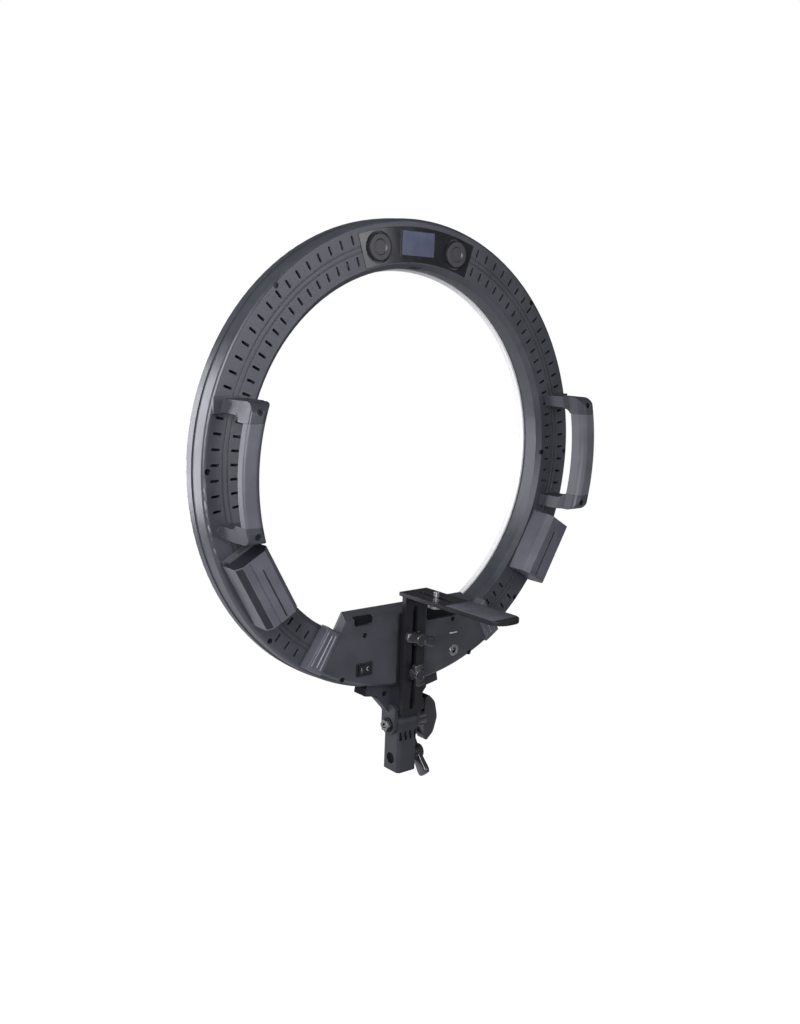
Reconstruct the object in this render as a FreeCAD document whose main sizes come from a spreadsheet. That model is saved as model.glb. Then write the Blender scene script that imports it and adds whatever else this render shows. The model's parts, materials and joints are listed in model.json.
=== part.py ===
import FreeCAD, Part
import math
import os
from types import SimpleNamespace

import Sketcher
from FreeCAD import Placement, Rotation, Vector

# LED ring light with a control panel, two battery packs, two hand grips and a tilting stand socket.
# Millimetres and degrees. +Z is up, the lit side faces -Y, and the origin is the mouth of the socket.
# Pieces of the head are drawn about the ring's centre on its flat back face. Left is +X, as seen
# from behind.

# Driving sizes
SIZES = {
    # Places of the head and of the tilt axis
    "tilt_axis_height": 52.0,
    "back_plane": -2.0,
    "fit": 0.1,
    "loose": 0.3,
    # Ring housing
    "ring_radius": 240.0,
    "ring_width": 48.0,
    "shell_depth": 19.0,
    "shell_inner_depth": 23.0,
    "shell_wall": 2.6,
    "bevel": 4.8,
    "rim_round": 3.6,
    "shoulder": 5.2,
    "stack_level": 11.0,
    "ring_depth": 30.0,
    "bezel_step": 1.0,
    "bezel_lip": 5.6,
    "bezel_lip_depth": 1.8,
    "bezel_round": 2.4,
    "tongue": 2.4,
    "diffuser_wall": 2.2,
    "flange_depth": 1.6,
    "spreader_thickness": 1.5,
    "board_thickness": 1.5,
    # Lamps on the light board
    "lamp_rows": 3,
    "lamps_per_row": 60,
    "lamp_size": 3.0,
    "lamp_thickness": 0.8,
    "lamp_row_pitch": 11.0,
    # Vents and grooves of the back
    "vent_width": 2.4,
    "vent_length": 9.1,
    "vent_pitch": 3.56,
    "vent_start": 21.0,
    "vent_count": 23,
    "low_vent_start": 136.3,
    "low_vent_count": 4,
    "groove_width": 1.5,
    "groove_depth": 0.8,
    # Control section
    "panel_arc": 158.34,
    "panel_thickness": 1.5,
    "dial_x": 49.7,
    "dial_well": 15.5,
    "dial_radius": 13.0,
    "dial_height": 3.0,
    "dial_dimple": 8.0,
    "dial_edge": 1.2,
    "dial_slope": 1.5,
    "dial_notch": 1.2,
    "shaft_radius": 3.0,
    "shaft_height": 1.5,
    "encoder_size": 12.0,
    "encoder_depth": 3.8,
    "display_half": 22.0,
    "display_border": 2.0,
    "window_thickness": 1.2,
    "module_depth": 3.5,
    "control_board_thickness": 1.6,
    "control_board_angle": 36.0,
    # Accessory inserts
    "insert_half": 8.0,
    "insert_height": 9.0,
    "insert_front": 10.4,
    "insert_back": 3.2,
    "thread_radius": 3.175,
    "thread_depth": 7.0,
    # Screws
    "screw_head": 2.65,
    "screw_head_height": 1.8,
    "screw_shank": 1.25,
    "screw_length": 8.0,
    # Driver box
    "box_slope": 7.0,
    "box_depth": 11.3,
    "box_angle": 57.0,
    "box_wall": 2.2,
    "box_chamfer": 3.0,
    "cavity_end_angle": 1.5,
    "tray_thickness": 2.0,
    "collar_angle": 5.0,
    "collar_gap_angle": 0.1,
    "collar_depth": 12.3,
    "collar_ridge": 1.0,
    "collar_ridge_angle": 0.7,
    "collar_ridge_shift": 1.5,
    "collar_ridge_margin": 4.0,
    "scoop_depth": 4.0,
    "left_scoop_from": 51.0,
    "left_scoop_to": 74.0,
    "right_scoop_from": 22.0,
    "right_scoop_to": 66.0,
    "upper_screw_x": 60.0,
    "lower_screw_x": 87.0,
    "driver_board_half": 40.0,
    "driver_board_level": 2.0,
    "coil_size": 16.0,
    "coil_height": 5.0,
    "left_coil": -30.0,
    "right_coil": 14.0,
    "coil_margin": 6.0,
    "capacitor_x": 34.0,
    "capacitor_radius": 4.0,
    "capacitor_margin": 8.0,
    "post_margin": 4.5,
    # Power inlet and switch
    "jack_x": 63.6,
    "jack_radius": 6.2,
    "jack_rim": 0.7,
    "jack_bore": 3.2,
    "jack_barrel": 5.0,
    "jack_depth": 9.0,
    "jack_floor": 1.5,
    "jack_pin": 1.0,
    "switch_x": 60.0,
    "switch_width": 20.0,
    "switch_height": 14.0,
    "switch_rim": 1.0,
    "switch_flange": 1.0,
    "switch_wall": 0.7,
    "switch_depth": 8.4,
    "rocker_pivot": 8.5,
    "rocker_pin": 1.0,
    "rocker_rise": 4.6,
    "rocker_dip": 1.2,
    "rocker_turn": 7.0,
    "rocker_edge": 0.4,
    "rocker_keel": 1.8,
    "rocker_keel_half": 1.6,
    # Battery packs
    "pack_angle": 120.0,
    "pack_length": 70.8,
    "pack_width": 38.4,
    "pack_top": 29.5,
    "pack_bevel": 6.0,
    "plate_length": 33.0,
    "plate_width": 34.0,
    "plate_thickness": 2.6,
    "plate_end": 2.4,
    "plate_end_height": 9.0,
    "plate_end_half": 15.0,
    "neck_half": 11.0,
    "head_half": 14.5,
    "neck_height": 2.3,
    "head_height": 1.8,
    "hook_length": 9.0,
    "hook_first": -25.0,
    "hook_pitch": 22.0,
    "pack_travel": 10.0,
    "contact_pitch": 7.0,
    "contact_width": 2.4,
    "contact_low": 5.0,
    "contact_high": 8.0,
    "pack_groove": 1.0,
    "pack_groove_shift": 5.5,
    # Hand grips
    "grip_low": 32.0,
    "grip_high": 51.0,
    "grip_round": 7.0,
    "grip_edge": 2.5,
    "grip_chamfer": 9.0,
    "handle_top": 65.3,
    "handle_bottom": 61.0,
    "window_top": 53.0,
    "window_bottom": 48.5,
    "window_round": 7.0,
    "handle_round": 12.0,
    "seam_top": 46.8,
    "seam_bottom": 44.4,
    "core_low": 36.5,
    "core_high": 46.5,
    "foot_margin": 1.4,
    "foot_height": 3.0,
    "foot_radius": 7.5,
    "handle_screw_top": 56.6,
    "handle_screw_bottom": 52.4,
    "handle_screw_head": 3.0,
    "handle_screw_depth": 3.0,
    "handle_screw_length": 12.0,
    "hex_socket": 1.5,
    # Tilt bracket
    "foot_half_angle": 11.6,
    "foot_front": 17.0,
    "foot_rear": 2.0,
    "gusset_half": 34.0,
    "gusset_front": 9.0,
    "cheek_inner": 13.0,
    "cheek_outer": 18.0,
    "cheek_radius": 10.5,
    "hinge_offset": 2.0,
    "bracket_screw_x": 24.5,
    "bolt_radius": 4.0,
    "bolt_head": 6.4,
    "bolt_head_height": 4.0,
    "washer_radius": 8.0,
    "washer_thickness": 1.2,
    # Stand receiver
    "receiver_half": 12.7,
    "receiver_depth_half": 13.0,
    "receiver_round": 4.0,
    "receiver_height": 40.0,
    "hub_radius": 12.0,
    "socket_radius": 8.1,
    "socket_depth": 34.0,
    "cross_hole_radius": 6.0,
    "cross_hole_height": 13.5,
    "cross_hole_depth": 2.4,
    "lock_height": 13.0,
    "lock_insert_radius": 4.6,
    "lock_screw_radius": 3.0,
    "rib_width": 2.5,
    "rib_pitch": 6.6,
    "rib_low": 36.0,
    "rib_high": 45.0,
    "rib_depth": 2.0,
    # Wing knobs
    "wing_thickness": 8.0,
    "wing_width": 12.0,
    "lock_wing_span": 60.0,
    "lock_wing_turn": 40.0,
    "lock_hub_radius": 7.0,
    "lock_hub_end": 28.0,
    "lock_wing_inner": 18.5,
    "tilt_neck_radius": 9.0,
    "tilt_neck_end": 30.0,
    "tilt_wing_depth": 13.0,
    "tilt_wing_near": 27.5,
    "tilt_wing_far": 46.0,
    "tilt_wing_top": 25.0,
    "tilt_wing_low": 27.0,
    "tilt_wing_waist": 8.0,
    "tilt_wing_round": 14.0,
    "knob_cap": 1.5,
    "clamp_hub_radius": 7.0,
    "clamp_hub_length": 12.0,
    "upper_wing_span": 40.0,
    "upper_wing_turn": 17.0,
    "lower_wing_span": 25.0,
    "lower_wing_turn": 80.0,
    # Camera bracket
    "rail_half": 17.0,
    "rail_thickness": 1.5,
    "leg_half": 14.0,
    "leg_thickness": 6.2,
    "leg_face": 19.3,
    "arm_thickness": 4.0,
    "arm_half": 18.5,
    "arm_reach": 157.0,
    "arm_round": 15.0,
    "leg_slot_width": 6.6,
    "arm_slot_near": 25.0,
    "arm_slot_far": 75.0,
    "stud_radius": 2.9,
    "stud_flange": 6.5,
    "stud_flange_height": 2.0,
    "pad_near": 82.0,
    "pad_far": 148.0,
    "pad_thickness": 0.8,
    "camera_screw_place": 50.0,
    "camera_screw_head": 9.0,
    "camera_screw_head_height": 5.0,
    "camera_screw_rise": 5.5,
    "camera_neck_radius": 2.6,
    "coin_slot": 1.6,
    "coin_slot_half": 6.0,
    "camera_washer_radius": 8.0,
    "camera_washer_thickness": 1.0,
}


# Distances in from the ring's outside radius; a negative one is out beyond it
INWARD = {
    "inner_groove": 25.0,
    "outer_groove": 20.0,
    "vent_outer_radius": 16.8,
    "panel_outer": 8.0,
    "dial_z": 30.7,
    "display_low": 37.0,
    "display_high": 11.0,
    "rim_screw_radius": 4.8,
    "box_top": 90.0,
    "box_radius": 4.2,
    "collar_outer": 3.0,
    "left_scoop_low": 76.0,
    "right_scoop_low": 69.0,
    "upper_screw_z": 65.5,
    "lower_screw_z": 23.5,
    "driver_board_high": 64.0,
    "driver_board_low": 34.0,
    "jack_z": 30.0,
    "switch_z": 30.0,
    "pack_radius": 25.0,
    "leg_inner": 34.0,
    "leg_outer": 10.0,
    "grip_inner": 30.0,
    "grip_outer": 11.0,
    "core_inner": 27.5,
    "core_outer": 18.5,
    "handle_screw_x": 27.1,
    "foot_lip": 3.5,
    "foot_outer": -9.0,
    "gusset_top": -3.0,
    "cheek_root": -18.0,
    "bracket_screw_z": -5.5,
    "tilt_drop": -41.0,
    "rail_top": 82.0,
    "rail_bottom": 6.0,
    "leg_bottom": -28.0,
    "arm_top": 106.0,
    "leg_slot_top": 90.0,
    "leg_slot_bottom": -22.0,
    "upper_stud": 56.0,
    "lower_stud": 18.0,
}

# Distances out from the radius of the ring's hole; a negative one is inside it
OUTWARD = {
    "diffuser_radius": -2.0,
    "lamp_first_radius": 12.0,
    "vent_inner_radius": 10.8,
    "panel_inner": 6.0,
    "rim_screw_inner": 5.4,
    "collar_inner": -1.5,
}

doc = FreeCAD.newDocument("RingLight")
sheet = doc.addObject("Spreadsheet::Sheet", "Sizes")


def add_row(row, name, content, distance=""):
    """A sheet row: name, value or formula with the name as its alias, and the distance that it uses."""
    sheet.set(f"A{row}", name)
    sheet.set(f"C{row}", str(distance))
    sheet.set(f"B{row}", content)
    sheet.setAlias(f"B{row}", name)


def fill_sheet():
    row = 0
    for name, number in SIZES.items():
        row += 1
        add_row(row, name, str(number))
    row += 1
    add_row(row, "hole_radius", "=ring_radius - ring_width")
    for name, distance in INWARD.items():
        row += 1
        add_row(row, name, f"=ring_radius - C{row}", distance)
    for name, distance in OUTWARD.items():
        row += 1
        add_row(row, name, f"=hole_radius + C{row}", distance)
    add_row(row + 1, "ring_height", "=tilt_axis_height + tilt_drop")
    add_row(row + 2, "panel_angle", "=panel_arc / ring_radius * 180 / pi")


fill_sheet()
doc.recompute()


# Sizes that carry both their number and the sheet expression that gives it
def number_of(value):
    return value.number if isinstance(value, Size) else float(value)


def text_of(value):
    return value.text if isinstance(value, Size) else repr(float(value))


class Size:
    def __init__(self, number, text):
        self.number = number
        self.text = text

    def __add__(self, other):
        return Size(self.number + number_of(other), f"({self.text} + {text_of(other)})")

    def __radd__(self, other):
        return Size(number_of(other) + self.number, f"({text_of(other)} + {self.text})")

    def __sub__(self, other):
        return Size(self.number - number_of(other), f"({self.text} - {text_of(other)})")

    def __rsub__(self, other):
        return Size(number_of(other) - self.number, f"({text_of(other)} - {self.text})")

    def __mul__(self, other):
        return Size(self.number * number_of(other), f"({self.text} * {text_of(other)})")

    __rmul__ = __mul__

    def __truediv__(self, other):
        return Size(self.number / number_of(other), f"({self.text} / {text_of(other)})")

    def __neg__(self):
        return Size(-self.number, f"(0 - {self.text})")

    def __float__(self):
        return float(self.number)


NAMES = [*SIZES, "hole_radius", *INWARD, *OUTWARD, "ring_height", "panel_angle"]
mm = SimpleNamespace(**{name: Size(float(sheet.get(name)), f"Sizes.{name}") for name in NAMES})
RING = (0, mm.back_plane, mm.ring_height)
TILT_HEIGHT = mm.ring_height - mm.tilt_drop
SUB_PARTS = []
PLANES = {"XY": ("XY_Plane", 1), "XZ": ("XZ_Plane", -1), "YZ": ("YZ_Plane", 1)}


# Tools that build bound features
def bind(item, path, value):
    if isinstance(value, Size):
        item.setExpression(path, value.text)


def place(item, at, turn=0, axis=Vector(0, 1, 0)):
    base = Vector(*[number_of(value) for value in at])
    item.Placement = Placement(base, Rotation(axis, number_of(turn)))
    for letter, value in zip("xyz", at):
        bind(item, f"Placement.Base.{letter}", value)


def new_body(label, at=RING, turn=0, axis=Vector(0, 1, 0)):
    body = doc.addObject("PartDesign::Body", label)
    body.Label = label
    place(body, at, turn, axis)
    SUB_PARTS.append(body)
    return body


def pin_point(index, position, a, b):
    """Constraints, each with its value, that hold a point of a sketch in its place."""
    rows = []
    for letter, value in (("X", a), ("Y", b)):
        if abs(number_of(value)) < 1e-9:
            line = -2 if letter == "X" else -1
            rows.append((Sketcher.Constraint("PointOnObject", index, position, line), None))
        else:
            kind = "Distance" + letter
            rows.append((Sketcher.Constraint(kind, -1, 1, index, position, number_of(value)), value))
    return rows


def constrain(drawing, rows):
    indexes = drawing.addConstraint([constraint for constraint, value in rows])
    for index, (constraint, value) in zip(indexes, rows):
        bind(drawing, f"Constraints[{index}]", value)


def loop(*points):
    """A closed outline of straight lines; a third value in a point rounds its corner."""
    def draw(drawing):
        count = len(points)
        spots = [Vector(number_of(point[0]), number_of(point[1]), 0) for point in points]
        arrive, leave, centres = [], [], []
        for index, point in enumerate(points):
            here = spots[index]
            back = (spots[index - 1] - here).normalize()
            ahead = (spots[(index + 1) % count] - here).normalize()
            if len(point) == 2:
                arrive.append(here)
                leave.append(here)
                centres.append(None)
                continue
            half = back.getAngle(ahead) / 2
            radius = number_of(point[2])
            arrive.append(here + back * (radius / math.tan(half)))
            leave.append(here + ahead * (radius / math.tan(half)))
            centres.append(here + (back + ahead).normalize() * (radius / math.sin(half)))
        first = drawing.GeometryCount
        lines = [Part.LineSegment(leave[i], arrive[(i + 1) % count]) for i in range(count)]
        drawing.addGeometry(lines, False)
        rows = []
        for index, point in enumerate(points):
            line_in = first + (index - 1) % count
            line_out = first + index
            if centres[index] is None:
                rows.append((Sketcher.Constraint("Coincident", line_in, 2, line_out, 1), None))
                rows += pin_point(line_out, 1, point[0], point[1])
                continue
            centre, radius = centres[index], number_of(point[2])
            circle = Part.Circle(centre, Vector(0, 0, 1), radius)
            forward = (arrive[index] - centre).cross(leave[index] - centre).z > 0
            ends = (arrive[index], leave[index]) if forward else (leave[index], arrive[index])
            angles = [math.atan2(end.y - centre.y, end.x - centre.x) for end in ends]
            arc = drawing.addGeometry(Part.ArcOfCircle(circle, *angles), False)
            arc_in, arc_out = (1, 2) if forward else (2, 1)
            corner = drawing.addGeometry(Part.Point(spots[index]), True)
            rows.append((Sketcher.Constraint("Tangent", line_in, 2, arc, arc_in), None))
            rows.append((Sketcher.Constraint("Tangent", arc, arc_out, line_out, 1), None))
            rows.append((Sketcher.Constraint("Radius", arc, radius), point[2]))
            rows += pin_point(corner, 1, point[0], point[1])
            rows.append((Sketcher.Constraint("PointOnObject", corner, 1, line_in), None))
            rows.append((Sketcher.Constraint("PointOnObject", corner, 1, line_out), None))
        constrain(drawing, rows)
    return draw


def box(left, right, low, high, rounding=None):
    corners = [(left, low), (right, low), (right, high), (left, high)]
    if rounding is not None:
        corners = [corner + (rounding,) for corner in corners]
    return loop(*corners)


def disc(a, b, radius):
    def draw(drawing):
        centre = Vector(number_of(a), number_of(b), 0)
        index = drawing.addGeometry(Part.Circle(centre, Vector(0, 0, 1), number_of(radius)), False)
        if abs(number_of(a)) < 1e-9 and abs(number_of(b)) < 1e-9:
            rows = [(Sketcher.Constraint("Coincident", index, 3, -1, 1), None)]
        else:
            rows = pin_point(index, 3, a, b)
        rows.append((Sketcher.Constraint("Radius", index, number_of(radius)), radius))
        constrain(drawing, rows)
    return draw


def draw_sketch(body, plane, level, shapes, spin=0):
    role, normal = PLANES[plane]
    drawing = body.newObject("Sketcher::SketchObject", "Sketch")
    support = [item for item in body.Origin.OriginFeatures if item.Role == role][0]
    drawing.AttachmentSupport = (support, [""])
    drawing.MapMode = "FlatFace"
    offset = level * normal
    turn = Rotation(Vector(0, 0, 1), number_of(spin))
    drawing.AttachmentOffset = Placement(Vector(0, 0, number_of(offset)), turn)
    bind(drawing, "AttachmentOffset.Base.z", offset)
    for shape in shapes:
        shape(drawing)
    return drawing


def extrude(kind, body, plane, start, end, shapes, spin=0):
    """A Pad or Pocket from the level start up to the level end along the plane's world axis."""
    drawing = draw_sketch(body, plane, start, shapes, spin)
    feature = body.newObject("PartDesign::" + kind, kind)
    feature.Profile = drawing
    feature.Length = number_of(end - start)
    bind(feature, "Length", end - start)
    normal = PLANES[plane][1]
    feature.Reversed = normal < 0 if kind == "Pad" else normal > 0
    body.Tip = feature
    return feature


def pad(body, plane, start, end, *shapes, spin=0):
    return extrude("Pad", body, plane, start, end, shapes, spin)


def cut(body, plane, start, end, *shapes, spin=0):
    return extrude("Pocket", body, plane, start, end, shapes, spin)


def revolve(kind, body, plane, edge, angle, shapes, spin=0):
    drawing = draw_sketch(body, plane, 0, shapes, spin)
    feature = body.newObject("PartDesign::" + kind, kind)
    feature.Profile = drawing
    feature.ReferenceAxis = (drawing, [edge])
    feature.Angle = number_of(angle)
    bind(feature, "Angle", angle)
    feature.Midplane = True
    body.Tip = feature
    return feature


def ring_section(body, *shapes, angle=360):
    """Turns a section of (depth, radius) points about the ring's axis."""
    return revolve("Revolution", body, "YZ", "H_Axis", angle, shapes)


def ring_groove(body, *shapes, angle=360):
    return revolve("Groove", body, "YZ", "H_Axis", angle, shapes)


def group(label, solids, at=RING, turn=0, axis=Vector(0, 1, 0)):
    """Several like solids that share one node."""
    item = doc.addObject("Part::Feature", label)
    item.Label = label
    item.Shape = Part.Compound(solids)
    place(item, at, turn, axis)
    SUB_PARTS.append(item)
    return item


def span(side, near, far):
    return (near, far) if side > 0 else (-far, -near)


def block(x_from, x_to, y_from, y_to, z_from, z_to):
    corner = Vector(number_of(x_from), number_of(y_from), number_of(z_from))
    size = [number_of(x_to - x_from), number_of(y_to - y_from), number_of(z_to - z_from)]
    return Part.makeBox(*size, corner)


def rod(radius, start, length, axis):
    return Part.makeCylinder(number_of(radius), number_of(length), start, axis)


def around(radius, angle):
    """The (x, z) place at a radius and an angle from the top towards the left."""
    turn = math.radians(angle)
    return number_of(radius) * math.sin(turn), number_of(radius) * math.cos(turn)


TOP_ANGLES = (45, 90, 135, 225, 270, 315)
REAR = Vector(0, 1, 0)


# Ring housing
def rear_shell():
    shell = new_body("rear_shell_blank")
    outer, inner = mm.ring_radius, mm.hole_radius
    ring_section(shell, loop(
        (0, inner + mm.bevel),
        (0, outer, mm.rim_round),
        (-mm.shell_depth, outer),
        (-mm.shell_depth, outer - mm.shell_wall),
        (-mm.stack_level, outer - mm.shell_wall),
        (-mm.stack_level, outer - mm.shoulder),
        (-mm.shell_wall, outer - mm.shoulder),
        (-mm.shell_wall, inner + mm.shoulder),
        (-mm.stack_level, inner + mm.shoulder),
        (-mm.stack_level, inner + mm.shell_wall),
        (-mm.shell_inner_depth, inner + mm.shell_wall),
        (-mm.shell_inner_depth, inner),
        (-mm.bevel, inner)))
    ring_groove(shell,
                groove_box(mm.inner_groove),
                groove_box(mm.outer_groove))
    ring_groove(shell, box(-mm.panel_thickness, mm.fit, mm.panel_inner - mm.fit, mm.panel_outer + mm.fit),
                angle=mm.panel_angle + mm.collar_gap_angle * 2)
    border = mm.display_border
    cut(shell, "XZ", -mm.shell_wall - 1, 0,
        box(border - mm.display_half, mm.display_half - border,
            mm.display_low + border, mm.display_high - border),
        disc(mm.dial_x, mm.dial_z, mm.shaft_radius + mm.loose * 2),
        disc(-mm.dial_x, mm.dial_z, mm.shaft_radius + mm.loose * 2))
    screw_holes(shell)
    half = mm.insert_half + mm.fit
    recess = box(-half, half, -mm.insert_front - mm.fit, mm.fit - mm.insert_back)
    cut(shell, "XY", outer - mm.shoulder - 1, outer + 1, recess)
    cut(shell, "XY", inner - 1, inner + mm.shoulder + 1, recess)
    cutters = doc.addObject("Part::Feature", "vent_cutters")
    cutters.Shape = Part.Compound(vent_cutters())
    place(cutters, RING)
    vented = doc.addObject("Part::Cut", "rear_shell")
    vented.Base = shell
    vented.Tool = cutters
    vented.Label = "rear_shell"
    SUB_PARTS[0] = vented


def groove_box(radius):
    return box(-mm.groove_depth, mm.fit, radius - mm.groove_width / 2, radius + mm.groove_width / 2)


def vent_cutters():
    """Round-ended slots in two rows, in a long run and a short run down each side."""
    half, length = number_of(mm.vent_width) / 2, number_of(mm.vent_length)
    low, high = -number_of(mm.shell_wall) - 1, 1
    cutters = []
    for radius in (number_of(mm.vent_inner_radius), number_of(mm.vent_outer_radius)):
        slot = block(-half, half, low, high, radius + half, radius + length - half)
        for end in (radius + half, radius + length - half):
            slot = slot.fuse(rod(half, Vector(0, low, end), high - low, REAR))
        slot = slot.removeSplitter()
        for start, count in ((mm.vent_start, mm.vent_count), (mm.low_vent_start, mm.low_vent_count)):
            for step in range(int(number_of(count))):
                turn = number_of(start) + step * number_of(mm.vent_pitch)
                cutters += [slot.rotated(Vector(0, 0, 0), REAR, side * turn) for side in (1, -1)]
    return cutters


def screw_places():
    outer = [around(mm.rim_screw_radius, angle) for angle in TOP_ANGLES]
    inner = [around(mm.rim_screw_inner, angle) for angle in (90, 270)]
    return outer + inner


def screw_holes(shell):
    places = screw_places()
    heads = [disc(x, z, mm.screw_head + mm.fit) for x, z in places]
    shanks = [disc(x, z, mm.screw_shank + mm.fit) for x, z in places]
    cut(shell, "XZ", -mm.screw_head_height - mm.fit, 1, *heads)
    cut(shell, "XZ", -mm.screw_head_height - mm.screw_length - mm.fit, 0, *shanks)


def screw(x, z, level, head, head_height, shank, length, socket):
    """A socket screw whose head's top is at the given level, driven towards the lit side."""
    top = Vector(number_of(x), number_of(level), number_of(z))
    low = top - REAR * number_of(head_height)
    body = rod(head, low, head_height, REAR).fuse(rod(shank, low - REAR * number_of(length), length, REAR))
    depth = number_of(head_height) * 0.6
    hexagon = Part.makePolygon([
        top + Vector(math.cos(turn), 0, math.sin(turn)) * number_of(socket)
        for turn in (math.radians(60 * step) for step in range(7))])
    return body.cut(Part.Face(hexagon).extrude(-REAR * depth)).removeSplitter()


def rim_screws():
    group("rim_screws", [
        screw(x, z, 0, mm.screw_head, mm.screw_head_height, mm.screw_shank, mm.screw_length, mm.hex_socket)
        for x, z in screw_places()])


def front_bezel():
    bezel = new_body("front_bezel")
    outer = mm.ring_radius + mm.bezel_step
    wall = mm.ring_radius - mm.shell_wall
    tongue_outer = wall - mm.fit * 2
    tongue_inner = tongue_outer - mm.tongue
    front, seat = -mm.ring_depth, -mm.shell_depth - mm.fit * 2
    flange = front + mm.bezel_lip_depth + mm.flange_depth + mm.fit * 4
    tip = -mm.stack_level - mm.spreader_thickness - mm.board_thickness - mm.loose
    ring_section(bezel, loop(
        (front, outer - mm.bezel_lip),
        (front + mm.bezel_lip_depth, outer - mm.bezel_lip),
        (front + mm.bezel_lip_depth, wall),
        (flange, wall),
        (flange, tongue_inner),
        (tip, tongue_inner),
        (tip, tongue_outer),
        (seat, tongue_outer),
        (seat, outer),
        (front, outer, mm.bezel_round)))


def diffuser_ring():
    diffuser = new_body("diffuser_ring")
    lip = mm.ring_radius + mm.bezel_step - mm.bezel_lip - mm.fit * 2
    flange = mm.ring_radius - mm.shell_wall - mm.fit * 2
    front = mm.fit * 2 - mm.ring_depth
    flange_front = mm.bezel_lip_depth + mm.fit * 2 - mm.ring_depth
    rear = flange_front + mm.flange_depth
    ring_section(diffuser, loop(
        (front, mm.diffuser_radius, 1.5),
        (front, lip),
        (flange_front, lip),
        (flange_front, flange),
        (rear, flange),
        (rear, mm.diffuser_radius + mm.diffuser_wall),
        (-mm.shell_inner_depth - mm.fit * 2, mm.diffuser_radius + mm.diffuser_wall),
        (-mm.shell_inner_depth - mm.fit * 2, mm.diffuser_radius)))


def light_engine():
    inner = mm.hole_radius + mm.shell_wall + mm.loose
    outer = mm.ring_radius - mm.shell_wall - mm.loose
    top = -mm.stack_level
    middle = top - mm.spreader_thickness
    low = middle - mm.board_thickness
    spreader = new_body("heat_spreader")
    pad(spreader, "XZ", middle, top, disc(0, 0, outer), disc(0, 0, inner))
    board = new_body("led_board")
    pad(board, "XZ", low, middle, disc(0, 0, outer), disc(0, 0, inner))
    lamps = []
    half = number_of(mm.lamp_size) / 2
    count = int(number_of(mm.lamps_per_row))
    for ring in range(int(number_of(mm.lamp_rows))):
        radius = number_of(mm.lamp_first_radius + mm.lamp_row_pitch * ring)
        for step in range(count):
            lamp = block(-half, half, low - mm.lamp_thickness, low, radius - half, radius + half)
            turn = 360 * (step + ring / 2) / count
            lamps.append(lamp.rotated(Vector(0, 0, 0), REAR, turn))
    group("led_array", lamps)


# Control section at the top of the ring
def control_panel():
    panel = new_body("control_panel")
    ring_section(panel, box(mm.fit - mm.panel_thickness, 0, mm.panel_inner, mm.panel_outer),
                 angle=mm.panel_angle)
    cut(panel, "XZ", -mm.panel_thickness - 1, 1,
        box(-mm.display_half, mm.display_half, mm.display_low, mm.display_high),
        disc(mm.dial_x, mm.dial_z, mm.dial_well),
        disc(-mm.dial_x, mm.dial_z, mm.dial_well))


def display():
    window = new_body("lcd_window")
    half = mm.display_half - mm.fit
    low, high = mm.display_low + mm.fit, mm.display_high - mm.fit
    seat = mm.fit - mm.panel_thickness
    pad(window, "XZ", seat, seat + mm.window_thickness, box(-half, half, low, high))
    module = new_body("lcd_module")
    top = -mm.shell_wall - mm.fit
    pad(module, "XZ", top - mm.module_depth, top,
        box(-half - mm.loose, half + mm.loose, low, high + mm.loose))


def control_electronics():
    board = new_body("control_board")
    top = -mm.shell_wall - mm.encoder_depth
    low = top - mm.control_board_thickness
    inner, outer = mm.display_low, mm.display_high + mm.loose
    ring_section(board, box(low, top, inner, outer), angle=mm.control_board_angle)
    encoders = []
    half = mm.encoder_size / 2
    for side in (1, -1):
        x = number_of(mm.dial_x) * side
        body = block(x - half, x + half, top, -mm.shell_wall, mm.dial_z - half, mm.dial_z + half)
        start = Vector(x, number_of(-mm.shell_wall) - 0.5, number_of(mm.dial_z))
        shaft = rod(mm.shaft_radius, start, mm.shell_wall + mm.shaft_height + 0.5, REAR)
        encoders.append(body.fuse(shaft))
    group("dial_encoders", encoders)


def dial(label, side):
    knob = new_body(label, (mm.dial_x * side, mm.back_plane, mm.ring_height + mm.dial_z))
    low = mm.loose - mm.panel_thickness
    top = mm.dial_height
    rim = mm.dial_radius
    ring_section(knob, loop(
        (low, 0),
        (low, rim),
        (top, rim, mm.dial_edge),
        (top, mm.dial_dimple + mm.dial_slope),
        (top - mm.dial_edge, mm.dial_dimple),
        (top - mm.dial_edge, 0)))
    cut(knob, "XZ", low - 1, mm.shaft_height + mm.fit, disc(0, 0, mm.shaft_radius + mm.fit))
    half = mm.dial_notch / 2
    notch = box(-half, half, mm.dial_dimple + mm.dial_slope + half, mm.dial_radius - mm.dial_edge)
    cut(knob, "XZ", top - half, top + 1, notch)


def accessory_insert(label, low):
    insert = new_body(label)
    half = mm.insert_half
    pad(insert, "XY", low, low + mm.insert_height, box(-half, half, -mm.insert_front, -mm.insert_back))
    middle = (mm.insert_front + mm.insert_back) / -2
    return insert, middle


def accessory_inserts():
    low = mm.ring_radius - mm.insert_height - mm.loose
    insert, middle = accessory_insert("accessory_insert_outer", low)
    top = low + mm.insert_height
    cut(insert, "XY", top - mm.thread_depth, top + 1, disc(0, middle, mm.thread_radius))
    low = mm.hole_radius + mm.loose
    insert, middle = accessory_insert("accessory_insert_inner", low)
    cut(insert, "XY", low - 1, low + mm.thread_depth, disc(0, middle, mm.thread_radius))


# Driver box at the bottom of the ring
def slope_of(angle):
    turn = math.tan(math.radians(number_of(angle)))
    return Size(turn, f"tan({text_of(angle)} * 1 deg)")


def below(radius, angle):
    """The (x, z) place at a radius, turned from straight below the ring's centre to the left."""
    turn, text = math.radians(number_of(angle)), f"({text_of(angle)} * 1 deg)"
    sine, cosine = Size(math.sin(turn), f"sin{text}"), Size(math.cos(turn), f"cos{text}")
    return radius * sine, -radius * cosine


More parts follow.
